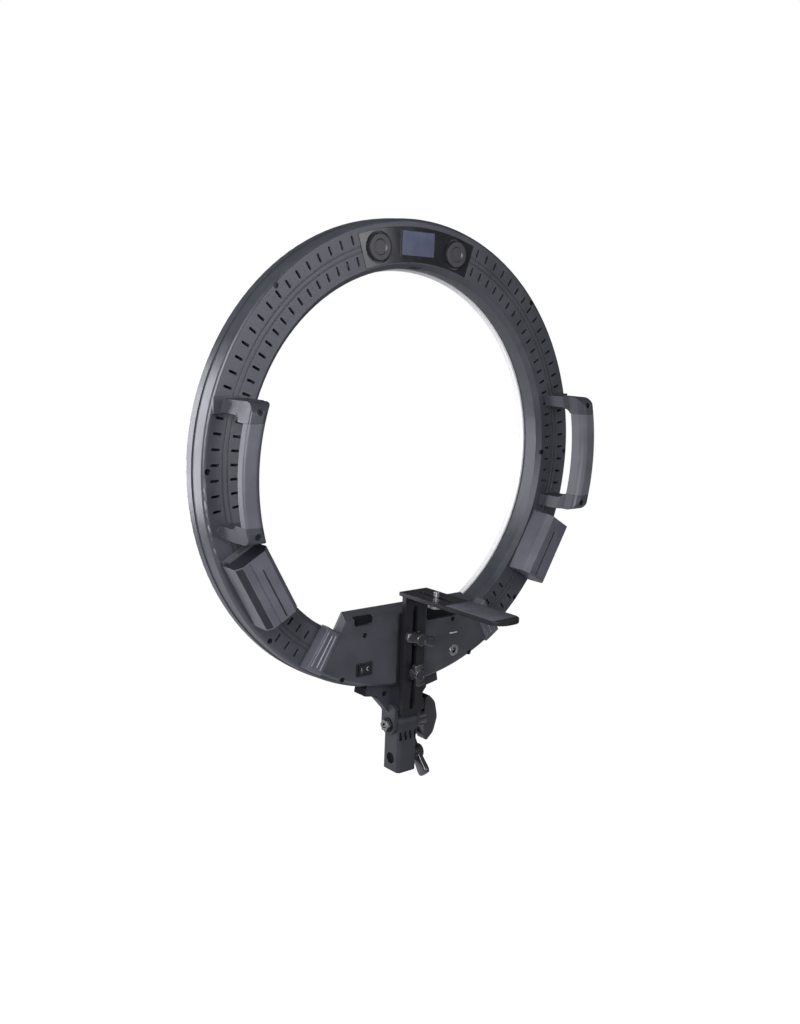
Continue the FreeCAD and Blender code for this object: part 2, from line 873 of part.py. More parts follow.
def wedge(top, low, inset=0):
    """A wedge of the driver box below the ring's centre, between two levels under it."""
    slope = slope_of(mm.box_angle / 2)
    return loop((inset - top * slope, -top), (top * slope - inset, -top),
                (low * slope - inset, -low), (inset - low * slope, -low))


def outside_of(radius):
    return disc(0, 0, radius * 2), disc(0, 0, radius)


def driver_box():
    cover = new_body("driver_box")
    depth, wall = mm.box_depth, mm.box_wall
    pad(cover, "XZ", 0, depth, wedge(mm.box_top, mm.ring_radius))
    cut(cover, "XZ", -1, depth + 1, *outside_of(mm.box_radius))
    ring_groove(cover, loop((depth - mm.box_chamfer, mm.box_radius + mm.fit), (depth + mm.fit, mm.box_radius + mm.fit),
                            (depth + mm.fit, mm.box_radius - mm.box_chamfer)))
    width = mm.ring_radius
    cut(cover, "YZ", -width, width, loop(
        (-mm.fit, -mm.box_top), (depth + 1, -mm.box_top), (depth + 1, -mm.box_top - mm.box_slope)))
    cavity_top = mm.right_scoop_low + wall
    edge_angle = mm.box_angle / 2 - mm.cavity_end_angle
    rim = mm.box_radius - wall
    slope = slope_of(edge_angle)
    cut(cover, "XZ", -1, depth - wall, loop(
        (-cavity_top * slope, -cavity_top), (cavity_top * slope, -cavity_top),
        below(rim, edge_angle), below(rim, edge_angle / 2), (0, -rim),
        below(rim, -edge_angle / 2), below(rim, -edge_angle)))
    scoop(cover, mm.left_scoop_from, mm.left_scoop_to, mm.left_scoop_low)
    scoop(cover, -mm.right_scoop_to, -mm.right_scoop_from, mm.right_scoop_low)
    places = box_screw_places()
    cut(cover, "XZ", depth - mm.screw_head_height - mm.fit, depth + 1,
        *[disc(x, z, mm.screw_head + mm.fit) for x, z in places])
    cut(cover, "XZ", -1, depth, *[disc(x, z, mm.screw_shank + mm.fit) for x, z in places])
    half_width = mm.switch_width / 2 - mm.switch_rim + mm.fit
    half_height = mm.switch_height / 2 - mm.switch_rim + mm.fit
    cut(cover, "XZ", -1, depth + 1,
        box(mm.switch_x - half_width, mm.switch_x + half_width,
            -mm.switch_z - half_height, half_height - mm.switch_z),
        disc(-mm.jack_x, -mm.jack_z, mm.jack_barrel + mm.fit))
    cut(cover, "XZ", depth - wall - 1, depth + 1,
        disc(0, -mm.upper_stud, mm.stud_radius + mm.fit),
        disc(0, -mm.lower_stud, mm.stud_radius + mm.fit))


def scoop(cover, near, far, low):
    """A shallow scoop in the sloped upper edge of the box."""
    depth = mm.box_depth
    cut(cover, "XZ", depth - mm.scoop_depth, depth + 1,
        loop((near, -low, 4.0), (far, -low, 4.0), (far, 1 - mm.box_top), (near, 1 - mm.box_top)))


def box_screw_places():
    upper = [(mm.upper_screw_x * side, -mm.upper_screw_z) for side in (1, -1)]
    lower = [(mm.lower_screw_x * side, -mm.lower_screw_z) for side in (1, -1)]
    return upper + lower


def box_screws():
    group("box_screws", [
        screw(x, z, mm.box_depth - mm.fit, mm.screw_head, mm.screw_head_height, mm.screw_shank,
              mm.box_depth - mm.screw_head_height - mm.loose, mm.hex_socket)
        for x, z in box_screw_places()])


def driver_tray():
    tray = new_body("driver_tray")
    pad(tray, "XZ", -mm.tray_thickness, 0, wedge(mm.box_top, mm.hole_radius))
    ring = mm.hole_radius + mm.bevel - mm.tray_thickness - mm.loose
    cut(tray, "XZ", -mm.tray_thickness - 1, 1, *outside_of(ring))


def driver_electronics():
    board = new_body("driver_board")
    half = mm.driver_board_half
    low, top = mm.driver_board_level, mm.driver_board_level + mm.control_board_thickness
    pad(board, "XZ", low, top, box(-half, half, -mm.driver_board_low, -mm.driver_board_high))
    post = mm.stud_radius
    foot = mm.post_margin - mm.driver_board_low
    pad(board, "XZ", 0, low, disc(mm.post_margin - half, foot, post), disc(half - mm.post_margin, foot, post))
    pieces = []
    size, height = number_of(mm.coil_size), number_of(mm.coil_height)
    level = number_of(top)
    foot = number_of(mm.coil_margin - mm.driver_board_low)
    for x in (number_of(mm.left_coil), number_of(mm.right_coil)):
        pieces.append(block(x, x + size, level, level + height, foot, foot + size))
    shelf = -number_of(mm.driver_board_high + mm.capacitor_margin)
    for side in (1, -1):
        start = Vector(side * number_of(mm.capacitor_x), level, shelf)
        pieces.append(rod(mm.capacitor_radius, start, height, REAR))
    group("driver_components", pieces)


def end_collar(label, side):
    """A block with two ridges that closes one end of the driver box."""
    middle = mm.box_angle / 2 + mm.collar_gap_angle + mm.collar_angle / 2
    turn = 180 - side * number_of(middle)
    collar = new_body(label, RING, turn)
    depth, ridge = mm.collar_depth, mm.collar_ridge
    ring_section(collar, loop((0, mm.collar_inner), (0, mm.collar_outer),
                              (depth, mm.collar_outer, mm.box_chamfer), (depth, mm.collar_inner, mm.box_chamfer)),
                 angle=mm.collar_angle)
    for shift in (-1, 1):
        turned = revolve("Revolution", collar, "YZ", "H_Axis", mm.collar_ridge_angle,
                         [box(depth - ridge, depth + ridge, mm.collar_inner + mm.collar_ridge_margin,
                              mm.collar_outer - mm.collar_ridge_margin)])
        turned.Profile[0].AttachmentOffset = Placement(
            Vector(0, 0, 0), Rotation(Vector(1, 0, 0), shift * number_of(mm.collar_ridge_shift)))


def dc_jack():
    jack = new_body("dc_jack", (-mm.jack_x, mm.back_plane, mm.ring_height - mm.jack_z))
    top = mm.box_depth + mm.jack_rim
    ring_section(jack, loop(
        (mm.box_depth - mm.jack_depth, 0),
        (mm.box_depth - mm.jack_depth, mm.jack_barrel),
        (mm.box_depth, mm.jack_barrel),
        (mm.box_depth, mm.jack_radius),
        (top, mm.jack_radius),
        (top, mm.jack_bore),
        (mm.box_depth - mm.jack_depth + mm.jack_floor, mm.jack_bore),
        (mm.box_depth - mm.jack_depth + mm.jack_floor, 0)))
    pad(jack, "XZ", mm.box_depth - mm.jack_depth + mm.jack_pin, mm.box_depth - mm.jack_pin,
        disc(0, 0, mm.jack_pin))


def switch():
    frame = new_body("switch_frame", (mm.switch_x, mm.back_plane, mm.ring_height - mm.switch_z))
    wide, tall = mm.switch_width / 2, mm.switch_height / 2
    depth, rim, wall = mm.box_depth, mm.switch_rim, mm.switch_wall
    pad(frame, "XZ", depth, depth + mm.switch_flange, box(-wide, wide, -tall, tall, 0.8))
    inner_wide, inner_tall = wide - rim, tall - rim
    pad(frame, "XZ", depth - mm.switch_depth, depth, box(-inner_wide, inner_wide, -inner_tall, inner_tall))
    cut(frame, "XZ", depth - mm.switch_depth + rim, depth + 2,
        box(wall - inner_wide, inner_wide - wall, wall - inner_tall, inner_tall - wall))
    cut(frame, "XY", -tall, tall, disc(0, mm.rocker_pivot, mm.rocker_pin + mm.fit))
    rocker = new_body("power_rocker", (mm.switch_x, mm.back_plane + mm.rocker_pivot, mm.ring_height - mm.switch_z),
                      mm.rocker_turn, Vector(0, 0, 1))
    half, side = inner_wide - wall - mm.loose * 2, inner_tall - wall - mm.fit * 2
    edge, keel, keel_half = mm.rocker_edge, mm.rocker_keel, mm.rocker_keel_half
    pad(rocker, "XY", -side, side, loop(
        (-half, edge), (-half, mm.rocker_rise), (0, mm.rocker_rise - mm.rocker_dip), (half, mm.rocker_rise),
        (half, edge), (keel_half, -keel), (-keel_half, -keel)))
    reach = inner_tall - mm.fit
    pad(rocker, "XY", -reach, reach, disc(0, 0, mm.rocker_pin))


# Battery packs and their plates
def hook_places():
    return [mm.hook_first + mm.hook_pitch * step for step in range(3)]


def battery_plate(label, side):
    plate = new_body(label, RING, mm.pack_angle * side)
    radius = mm.pack_radius
    thick, neck = mm.plate_thickness, mm.plate_thickness + mm.neck_height
    wall = mm.pack_length / 2 + mm.loose
    half = mm.plate_width / 2
    pad(plate, "XZ", 0, thick, box(*span(-side, -mm.plate_length, wall + mm.plate_end), radius - half, radius + half))
    pad(plate, "XZ", 0, mm.plate_end_height, box(*span(-side, wall, wall + mm.plate_end),
        radius - mm.plate_end_half, radius + mm.plate_end_half))
    run = box(*span(-side, 2 - mm.plate_length, mm.plate_length - 2), radius - mm.neck_half, radius + mm.neck_half)
    pad(plate, "XZ", thick, neck, run)
    for place_along in hook_places():
        hook = box(*span(side, place_along, place_along + mm.hook_length),
                   radius - mm.head_half, radius + mm.head_half)
        pad(plate, "XZ", neck, neck + mm.head_height, hook)
    slots = []
    for shift in (-1, 0, 1):
        middle = radius + mm.contact_pitch * shift
        slots.append(box(mm.contact_low, mm.contact_high,
                         middle - mm.contact_width / 2, middle + mm.contact_width / 2))
    cut(plate, "YZ", *span(-side, wall - 1, wall + mm.plate_end + 1), *slots)


def battery_contacts():
    bars = []
    wall = number_of(mm.pack_length / 2 + mm.loose)
    half = number_of(mm.contact_width / 2 - 0.05)
    for side in (1, -1):
        for shift in (-1, 0, 1):
            middle = number_of(mm.pack_radius + mm.contact_pitch * shift)
            ends = sorted((-side * (wall - 0.1), -side * (wall + number_of(mm.plate_end))))
            bar = block(ends[0], ends[1], mm.contact_low + 0.05, mm.contact_high - 0.05,
                        middle - half, middle + half)
            bars.append(bar.rotated(Vector(0, 0, 0), REAR, number_of(mm.pack_angle) * side))
    group("battery_contacts", bars)


def battery(label, side):
    pack = new_body(label, RING, mm.pack_angle * side)
    radius, half = mm.pack_radius, mm.pack_width / 2
    low = mm.plate_thickness + mm.loose
    lip = mm.plate_thickness + mm.neck_height - mm.loose
    roof = mm.plate_thickness + mm.neck_height + mm.head_height + mm.loose
    neck, head = mm.neck_half + mm.loose, mm.head_half + mm.loose
    top, bevel = mm.pack_top, mm.pack_bevel
    end = mm.pack_length / 2
    pad(pack, "YZ", -end, end, loop(
        (low, radius - half), (top - bevel, radius - half), (top, radius - half + bevel),
        (top, radius + half - bevel), (top - bevel, radius + half), (low, radius + half),
        (low, radius + neck), (lip, radius + neck), (lip, radius + head), (roof, radius + head),
        (roof, radius - head), (lip, radius - head), (lip, radius - neck), (low, radius - neck)))
    for place_along in hook_places():
        near = place_along - mm.pack_travel - mm.loose
        gate = box(*span(side, near, near + mm.hook_length + mm.loose * 2), radius - head, radius + head)
        cut(pack, "XZ", low - 1, lip + 1, gate)
    middle = radius + mm.pack_groove_shift * side
    cut(pack, "YZ", -end - 1, end + 1,
        box(top - 0.6, top + 1, middle - mm.pack_groove / 2, middle + mm.pack_groove / 2))


# Hand grips
def grip_section(side):
    inner, outer = mm.grip_inner * side, mm.grip_outer * side
    return (outer, mm.grip_low), (outer, mm.grip_high, mm.grip_edge), \
        (inner, mm.grip_high, mm.grip_round), (inner, mm.grip_low)


def handle(label, side):
    """Two legs and a straight core; the outer faces follow the ring."""
    body = new_body(label)
    bar = grip_section(side)
    revolve("Revolution", body, "XY", "V_Axis", 40, [loop(
        (mm.leg_inner * side, 0), (mm.leg_outer * side, 0), (mm.leg_outer * side, mm.grip_low - 4),
        *bar, (mm.leg_inner * side, mm.grip_low - 4))])
    reach = span(side, mm.leg_inner - 20, mm.leg_outer + 10)
    cut(body, "YZ", *reach, loop(
        (-1, -mm.window_bottom), (mm.grip_low, -mm.window_bottom, mm.window_round),
        (mm.grip_low, mm.window_top, mm.window_round), (-1, mm.window_top)))
    far = mm.ring_radius / 2
    cut(body, "YZ", *reach, box(-5, mm.grip_high + 5, -far, far), loop(
        (-4, -mm.handle_bottom), (mm.grip_high, -mm.handle_bottom, mm.handle_round),
        (mm.grip_high, mm.handle_top, mm.handle_round), (-4, mm.handle_top)))
    margin = mm.foot_margin
    pad(body, "XZ", 0, mm.foot_height,
        box(*span(side, mm.leg_inner - margin, mm.leg_outer + margin),
            mm.window_top - margin, mm.handle_top + margin))
    middle = (mm.handle_bottom + mm.window_bottom) / -2
    pad(body, "XZ", 0, mm.foot_height, disc((mm.leg_inner + mm.leg_outer) / 2 * side, middle, mm.foot_radius))
    cut(body, "XY", -mm.seam_bottom, mm.seam_top,
        box(*span(side, mm.leg_inner - 20, mm.leg_outer + 10), mm.grip_low - 4, mm.grip_high + 5),
        box(*span(side, mm.core_inner, mm.core_outer), mm.core_low, mm.core_high))
    places = handle_screw_places(side)
    cut(body, "XZ", mm.grip_high - mm.handle_screw_depth - mm.fit, mm.grip_high + 1,
        *[disc(x, z, mm.handle_screw_head + mm.fit) for x, z in places])
    cut(body, "XZ", mm.grip_high - mm.handle_screw_depth - mm.handle_screw_length - mm.fit, mm.grip_high,
        *[disc(x, z, mm.hex_socket + mm.fit) for x, z in places])


def handle_screw_places(side):
    x = mm.handle_screw_x * side
    return (x, mm.handle_screw_top), (x, -mm.handle_screw_bottom)


def handle_screws():
    places = handle_screw_places(1) + handle_screw_places(-1)
    level = mm.grip_high - 1
    group("handle_screws", [
        screw(x, z, level, mm.handle_screw_head, mm.handle_screw_depth - 1, mm.hex_socket,
              mm.handle_screw_length, mm.hex_socket)
        for x, z in places])


def grip(label, side):
    sleeve = new_body(label)
    bar = grip_section(side)
    outer, inner = mm.grip_outer * side, mm.grip_inner * side
    revolve("Revolution", sleeve, "XY", "V_Axis", 40, [loop(
        (outer - mm.grip_chamfer * side, mm.grip_low, mm.grip_edge),
        (outer, mm.grip_low + mm.grip_chamfer, mm.grip_edge),
        *bar[1:3], (inner, mm.grip_low, mm.grip_edge))])
    far = mm.ring_radius / 2
    wide = box(*span(side, mm.leg_inner - 30, mm.leg_outer + 10), mm.grip_low - 4, mm.grip_high + 5)
    cut(sleeve, "XY", -far, mm.fit - mm.seam_bottom, wide)
    cut(sleeve, "XY", mm.seam_top - mm.fit, far, wide)
    gap = mm.fit
    cut(sleeve, "XY", -far, far, box(*span(side, mm.core_inner - gap, mm.core_outer + gap),
                                     mm.core_low - gap, mm.core_high + gap))


# Lower bracket and stand receiver
def tilt_bracket():
    bracket = new_body("tilt_bracket")
    edge = mm.ring_radius + mm.bezel_step + mm.loose
    revolve("Revolution", bracket, "YZ", "H_Axis", mm.foot_half_angle * 2, [loop(
        (0, -mm.foot_lip), (mm.foot_rear, -mm.foot_lip), (mm.foot_rear, -mm.foot_outer),
        (-mm.foot_front, -mm.foot_outer), (-mm.foot_front, -edge), (0, -edge))])
    axis = mm.tilt_drop
    slot_top = axis - mm.hub_radius - mm.loose * 8
    cheek = mm.cheek_outer
    pad(bracket, "XZ", -mm.gusset_front, mm.foot_rear, loop(
        (-mm.gusset_half, -mm.gusset_top), (mm.gusset_half, -mm.gusset_top),
        (mm.gusset_half, -mm.foot_outer, 2.0), (cheek, -slot_top, 6.0), (cheek, -axis),
        (-cheek, -axis), (-cheek, -slot_top, 6.0), (-mm.gusset_half, -mm.foot_outer, 2.0)))
    y, radius = mm.hinge_offset, mm.cheek_radius
    for side in (1, -1):
        pad(bracket, "YZ", *span(side, mm.cheek_inner, cheek), loop(
            (y - radius, -mm.cheek_root), (y + radius, -mm.cheek_root, 6.0),
            (y + radius, -axis - radius, radius * 0.98), (y - radius, -axis - radius, radius * 0.98)))
    inner = mm.cheek_inner
    cut(bracket, "XZ", -mm.foot_front, mm.foot_rear + mm.cheek_radius + 5, box(-inner, inner, -axis - 20, -slot_top))
    cut(bracket, "YZ", -cheek - 1, cheek + 1, disc(y, -axis, mm.bolt_radius + mm.fit))
    places = bracket_screw_places()
    cut(bracket, "XZ", mm.foot_rear - mm.screw_head_height, mm.foot_rear + 1,
        *[disc(x, z, mm.screw_head + mm.fit) for x, z in places])
    cut(bracket, "XZ", mm.foot_rear - mm.screw_head_height - mm.screw_length - mm.fit, mm.foot_rear,
        *[disc(x, z, mm.screw_shank + mm.fit) for x, z in places])


def bracket_screw_places():
    return [(mm.bracket_screw_x * side, -mm.bracket_screw_z) for side in (1, -1)]


def bracket_screws():
    group("bracket_screws", [
        screw(x, z, mm.foot_rear, mm.screw_head, mm.screw_head_height - mm.fit, mm.screw_shank,
              mm.screw_length, mm.hex_socket)
        for x, z in bracket_screw_places()])


def tilt_bolt():
    at = (0, mm.back_plane + mm.hinge_offset, TILT_HEIGHT)
    washer = new_body("tilt_washer", at)
    face = mm.cheek_outer
    seat = face + mm.washer_thickness
    pad(washer, "YZ", face, seat, disc(0, 0, mm.washer_radius), disc(0, 0, mm.bolt_radius + mm.fit))
    bolt = new_body("tilt_bolt", at)
    pad(bolt, "YZ", -mm.tilt_neck_end + 2, seat, disc(0, 0, mm.bolt_radius))
    corners = []
    for step in range(6):
        turn = math.radians(60 * step)
        corners.append((mm.bolt_head * math.cos(turn), mm.bolt_head * math.sin(turn)))
    pad(bolt, "YZ", seat, seat + mm.bolt_head_height, loop(*corners))
    cut(bolt, "YZ", seat + 1, seat + mm.bolt_head_height + 1, disc(0, 0, mm.bolt_radius * 0.7))


def stand_receiver():
    body = new_body("stand_receiver", (0, 0, 0))
    half, deep = mm.receiver_half, mm.receiver_depth_half
    pad(body, "XY", 0, mm.receiver_height, box(-half, half, -deep, deep, mm.receiver_round))
    hub, top = mm.hub_radius, TILT_HEIGHT + mm.hub_radius
    pad(body, "YZ", -half, half, loop(
        (-hub, mm.receiver_height - 1), (hub, mm.receiver_height - 1), (hub, top, hub * 0.98), (-hub, top, hub * 0.98)))
    cut(body, "XY", -1, mm.socket_depth, disc(0, 0, mm.socket_radius))
    cut(body, "YZ", -half - 1, half + 1, disc(0, TILT_HEIGHT, mm.bolt_radius + mm.fit))
    cut(body, "YZ", half - mm.cross_hole_depth, half + 1, disc(0, mm.cross_hole_height, mm.cross_hole_radius))
    cut(body, "YZ", -half - 1, -mm.socket_radius + 1, disc(0, mm.lock_height, mm.lock_insert_radius + mm.fit))
    ribs = []
    for step in (-1.5, -0.5, 0.5, 1.5):
        middle = mm.rib_pitch * step
        ribs.append(box(middle - mm.rib_width / 2, middle + mm.rib_width / 2, mm.rib_low, mm.rib_high))
    cut(body, "XZ", deep - mm.rib_depth, deep + 1, *ribs)
    insert = new_body("lock_insert", (0, 0, 0))
    pad(insert, "YZ", -half, -mm.socket_radius - mm.loose, disc(0, mm.lock_height, mm.lock_insert_radius),
        disc(0, mm.lock_height, mm.lock_screw_radius + mm.fit))


# Wing knobs
def wing(span_length, width):
    half, side = span_length / 2, width / 2
    corner = width * 0.42
    return loop((-half, -side, corner), (half, -side, corner), (half, side, corner), (-half, side, corner))


def lock_knob():
    knob = new_body("lock_knob", (0, 0, mm.lock_height), 90 + mm.lock_wing_turn, Vector(1, 0, 0))
    near, hub_near = mm.lock_wing_inner, mm.receiver_half + mm.loose
    pad(knob, "YZ", -mm.lock_hub_end, -hub_near, disc(0, 0, mm.lock_hub_radius))
    pad(knob, "YZ", -near - mm.wing_thickness, -near, wing(mm.lock_wing_span, mm.wing_width))
    pad(knob, "YZ", -hub_near, -mm.socket_radius - mm.fit, disc(0, 0, mm.lock_screw_radius))


def tilt_knob():
    at = (0, mm.back_plane + mm.hinge_offset, TILT_HEIGHT)
    knob = new_body("tilt_knob", at)
    near = mm.cheek_outer + mm.loose
    end = mm.tilt_neck_end
    pad(knob, "YZ", -end, -near, disc(0, 0, mm.tilt_neck_radius))
    half = mm.tilt_wing_depth / 2
    inside, outside = -mm.tilt_wing_near, -mm.tilt_wing_far
    top, low, waist, rounding = mm.tilt_wing_top, -mm.tilt_wing_low, mm.tilt_wing_waist, mm.tilt_wing_round
    pad(knob, "XZ", -half, half, loop(
        (inside, low * 0.7, 1.0), (inside, -waist, 5.0), (inside + 2, 0), (inside, waist, 5.0),
        (inside - 1, top * 0.88, 1.0), (inside - 5.5, top, 2.0),
        (outside + 4, top * 0.64, rounding), (outside, -2, rounding), (outside + 5, low * 0.68, rounding * 0.8),
        (inside - 3.5, low, 2.0)))
    cut(knob, "YZ", mm.fit - end + mm.knob_cap, 0, disc(0, 0, mm.bolt_radius + mm.fit * 0.7))


def clamp_knob(label, drop, span_length, turn):
    at = (0, mm.back_plane, mm.ring_height - drop)
    knob = new_body(label, at, -turn)
    face = mm.leg_face + mm.loose
    end = face + mm.clamp_hub_length
    pad(knob, "XZ", face, end, disc(0, 0, mm.clamp_hub_radius))
    pad(knob, "XZ", end - mm.wing_thickness, end, wing(span_length, mm.wing_width))
    cut(knob, "XZ", face - 1, end - mm.knob_cap, disc(0, 0, mm.stud_radius + mm.fit * 0.7))


# Camera bracket and its rail
def rail():
    base = new_body("rail_base")
    near = mm.box_depth
    pad(base, "XZ", near, near + mm.rail_thickness, box(-mm.rail_half, mm.rail_half, -mm.rail_bottom, -mm.rail_top, 2.0))
    cut(base, "XZ", near - 1, near + mm.rail_thickness + 1,
        disc(0, -mm.upper_stud, mm.stud_radius + mm.fit),
        disc(0, -mm.lower_stud, mm.stud_radius + mm.fit))
    studs = []
    seat = number_of(mm.box_depth - mm.box_wall)
    top = number_of(mm.leg_face + mm.loose + mm.clamp_hub_length - 2)
    for drop in (mm.upper_stud, mm.lower_stud):
        start = Vector(0, seat - number_of(mm.stud_flange_height), -number_of(drop))
        flange = rod(mm.stud_flange, start, mm.stud_flange_height, REAR)
        studs.append(flange.fuse(rod(mm.stud_radius, start, top - start.y, REAR)))
    group("rail_studs", studs)


def camera_bracket():
    bracket = new_body("camera_bracket")
    near, far = mm.leg_face - mm.leg_thickness, mm.leg_face
    under = mm.arm_top + mm.arm_thickness
    half = mm.leg_half
    pad(bracket, "XZ", near, far, loop(
        (-half, -mm.leg_bottom, 3.0), (half, -mm.leg_bottom, 3.0), (half, -mm.arm_top), (-half, -mm.arm_top)))
    wide = mm.arm_half
    pad(bracket, "XY", -under, -mm.arm_top, loop(
        (-wide, near), (wide, near), (wide, mm.arm_reach, mm.arm_round), (-wide, mm.arm_reach, mm.arm_round)))
    slot = mm.leg_slot_width / 2
    cut(bracket, "XZ", near - 1, far + 1,
        box(-slot, slot, -mm.leg_slot_bottom, -mm.leg_slot_top, mm.leg_slot_width * 0.48))
    cut(bracket, "XY", -under - 1, 1 - mm.arm_top,
        box(-slot, slot, mm.arm_slot_near, mm.arm_slot_far, mm.leg_slot_width * 0.48))
    pad_body = new_body("camera_pad")
    pad(pad_body, "XY", -mm.arm_top, mm.pad_thickness - mm.arm_top,
        box(2 - wide, wide - 2, mm.pad_near, mm.pad_far, 4.0))


def camera_screw():
    at = (0, mm.back_plane + mm.camera_screw_place, mm.ring_height)
    washer = new_body("camera_screw_washer", at)
    top = -mm.arm_top - mm.arm_thickness - mm.loose
    low = top - mm.camera_washer_thickness
    bore = mm.thread_radius + mm.fit
    pad(washer, "XY", low, top, disc(0, 0, mm.camera_washer_radius), disc(0, 0, bore))
    knob = new_body("camera_screw", at)
    head_top = low - mm.loose
    pad(knob, "XY", head_top - mm.camera_screw_head_height, head_top, disc(0, 0, mm.camera_screw_head))
    seat = mm.pad_thickness - mm.arm_top
    pad(knob, "XY", head_top, seat, disc(0, 0, mm.camera_neck_radius))
    pad(knob, "XY", seat, mm.camera_screw_rise - mm.arm_top, disc(0, 0, mm.thread_radius))
    foot = head_top - mm.camera_screw_head_height
    cut(knob, "XY", foot - 1, foot + mm.coin_slot,
        box(-mm.coin_slot_half, mm.coin_slot_half, mm.coin_slot / -2, mm.coin_slot / 2))


def build_all():
    rear_shell()
    rim_screws()
    front_bezel()
    diffuser_ring()
    light_engine()
    control_panel()
    display()
    control_electronics()
    dial("dial_left", 1)
    dial("dial_right", -1)
    accessory_inserts()
    driver_box()
    box_screws()
    driver_tray()
    driver_electronics()
    end_collar("end_collar_left", 1)
    end_collar("end_collar_right", -1)
    dc_jack()
    switch()
    for name_end, side in (("left", 1), ("right", -1)):
        battery_plate(f"battery_plate_{name_end}", side)
        battery(f"battery_{name_end}", side)
        handle(f"handle_{name_end}", side)
        grip(f"grip_{name_end}", side)
    battery_contacts()
    handle_screws()
    tilt_bracket()
    bracket_screws()
    tilt_bolt()
    stand_receiver()
    lock_knob()
    tilt_knob()
    clamp_knob("clamp_knob_upper", mm.upper_stud, mm.upper_wing_span, mm.upper_wing_turn)
    clamp_knob("clamp_knob_lower", mm.lower_stud, mm.lower_wing_span, mm.lower_wing_turn)
    rail()
    camera_bracket()
    camera_screw()


def check_and_export():
    doc.recompute()
    failed = [item.Name for item in doc.Objects if "Invalid" in item.State or "Error" in item.State]
    for item in SUB_PARTS:
        if item.Shape.isNull() or not item.Shape.isValid():
            failed.append(item.Label)
    if failed:
        raise RuntimeError("failed: " + ", ".join(failed))
    os.makedirs("parts", exist_ok=True)
    for item in SUB_PARTS:
        item.Shape.exportStep(f"parts/{item.Label}.step")
        print(item.Label, len(item.Shape.Solids), round(item.Shape.Volume))


build_all()
check_and_export()
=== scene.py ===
# %% [markdown]
# LED ring light seen from behind. The imported CAD model is loaded as a fixed frame: it gives every size and
# place, in metres, with the lit side towards -Y. This script dresses it and keeps its sizes.

import json
import math

import bpy
from mathutils import Matrix, Vector


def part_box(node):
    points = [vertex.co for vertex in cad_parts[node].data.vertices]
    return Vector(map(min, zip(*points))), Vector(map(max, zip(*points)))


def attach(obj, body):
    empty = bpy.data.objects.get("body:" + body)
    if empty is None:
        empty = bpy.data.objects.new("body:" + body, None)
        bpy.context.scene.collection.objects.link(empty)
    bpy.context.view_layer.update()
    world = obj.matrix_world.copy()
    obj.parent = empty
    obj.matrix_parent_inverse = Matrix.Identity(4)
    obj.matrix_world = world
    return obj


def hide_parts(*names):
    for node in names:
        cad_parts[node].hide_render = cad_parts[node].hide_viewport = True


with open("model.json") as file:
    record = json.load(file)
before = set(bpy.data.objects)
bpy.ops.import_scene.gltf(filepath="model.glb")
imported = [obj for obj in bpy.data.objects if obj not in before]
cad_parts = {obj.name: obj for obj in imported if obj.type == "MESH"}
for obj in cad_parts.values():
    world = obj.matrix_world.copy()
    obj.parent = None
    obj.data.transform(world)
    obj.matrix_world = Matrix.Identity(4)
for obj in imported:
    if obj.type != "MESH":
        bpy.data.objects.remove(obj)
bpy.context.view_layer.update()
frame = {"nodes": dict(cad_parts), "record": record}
nodes = frame["nodes"]
record = frame["record"]
body_of_node = {}
for body, members in record["behaviour"]["bodies"].items():
    for node in members:
        body_of_node[node] = body
slot_of_node = {row["node"]: row["material_slot"] for row in record["subparts"]}
colour_of_slot = {row["slot"]: row["base_color"][:3] for row in record["materials"]}

# %% [markdown]
# Operators act on whatever is selected, and the loader leaves the CAD nodes selected. So one small helper
# clears the selection, and another makes a single object the one being worked on. Small sizes are written
# in millimetres, times the length of a millimetre in the scene.

# %% Units and selection
MM = 0.001


def clear_selection():
    bpy.ops.object.select_all(action="DESELECT")


def work_on(piece):
    clear_selection()
    piece.select_set(True)
    bpy.context.view_layer.objects.active = piece


clear_selection()
print("selected after clearing:", len(bpy.context.selected_objects))

# %% [markdown]
# The camera stands behind the ring, to its left and a little above its centre. The ring reads as an ellipse
# from there, so the position, the viewing direction and the small roll all matter: the direction is given
# as a vector and the roll as an angle, and the camera's axes are built from the two.

# %% Camera
RING_CENTRE = Vector((0, -0.002, 0.333))
CAMERA_OFFSET = Vector((0.7037, 0.8287, 0.1276))
VIEW_DIRECTION = Vector((-0.63271, -0.75655, -0.16526)).normalized()
CAMERA_ROLL = math.radians(2.18)
LENS_MM = 47.88
SENSOR_MM = 36.0


def camera_axes(direction, roll):
    level = direction.cross(Vector((0, 0, 1))).normalized()
    upright = level.cross(direction)
    right = level * math.cos(roll) + upright * math.sin(roll)
    return right, right.cross(direction), -direction


bpy.ops.object.camera_add(location=RING_CENTRE + CAMERA_OFFSET)
camera = bpy.context.object
facing = Matrix(camera_axes(VIEW_DIRECTION, CAMERA_ROLL)).transposed()
camera.matrix_world = Matrix.Translation(RING_CENTRE + CAMERA_OFFSET) @ facing.to_4x4()
camera.data.sensor_fit = "HORIZONTAL"
camera.data.sensor_width = SENSOR_MM
camera.data.lens = LENS_MM
bpy.context.scene.camera = camera
print("camera is", round(CAMERA_OFFSET.length, 3), "m from the ring's centre")

# %% [markdown]
# The floor is a wide pale sheet that keeps the light's soft shadow. A camera ray sees it nearly as bright as
# the white surround, so no horizon line shows. Every other ray sees the plain pale paint underneath, so
# that the black plastic doesn't mirror a floor that is brighter than a real one.

# %% Floor
FLOOR_LEVEL = -0.55
FLOOR_SIZE = 30
FLOOR_PAINT = (0.8, 0.8, 0.8, 1)
FLOOR_ROUGHNESS = 0.6
FLOOR_WHITE = 1.12
FLOOR_WHITE_SHARE = 0.88


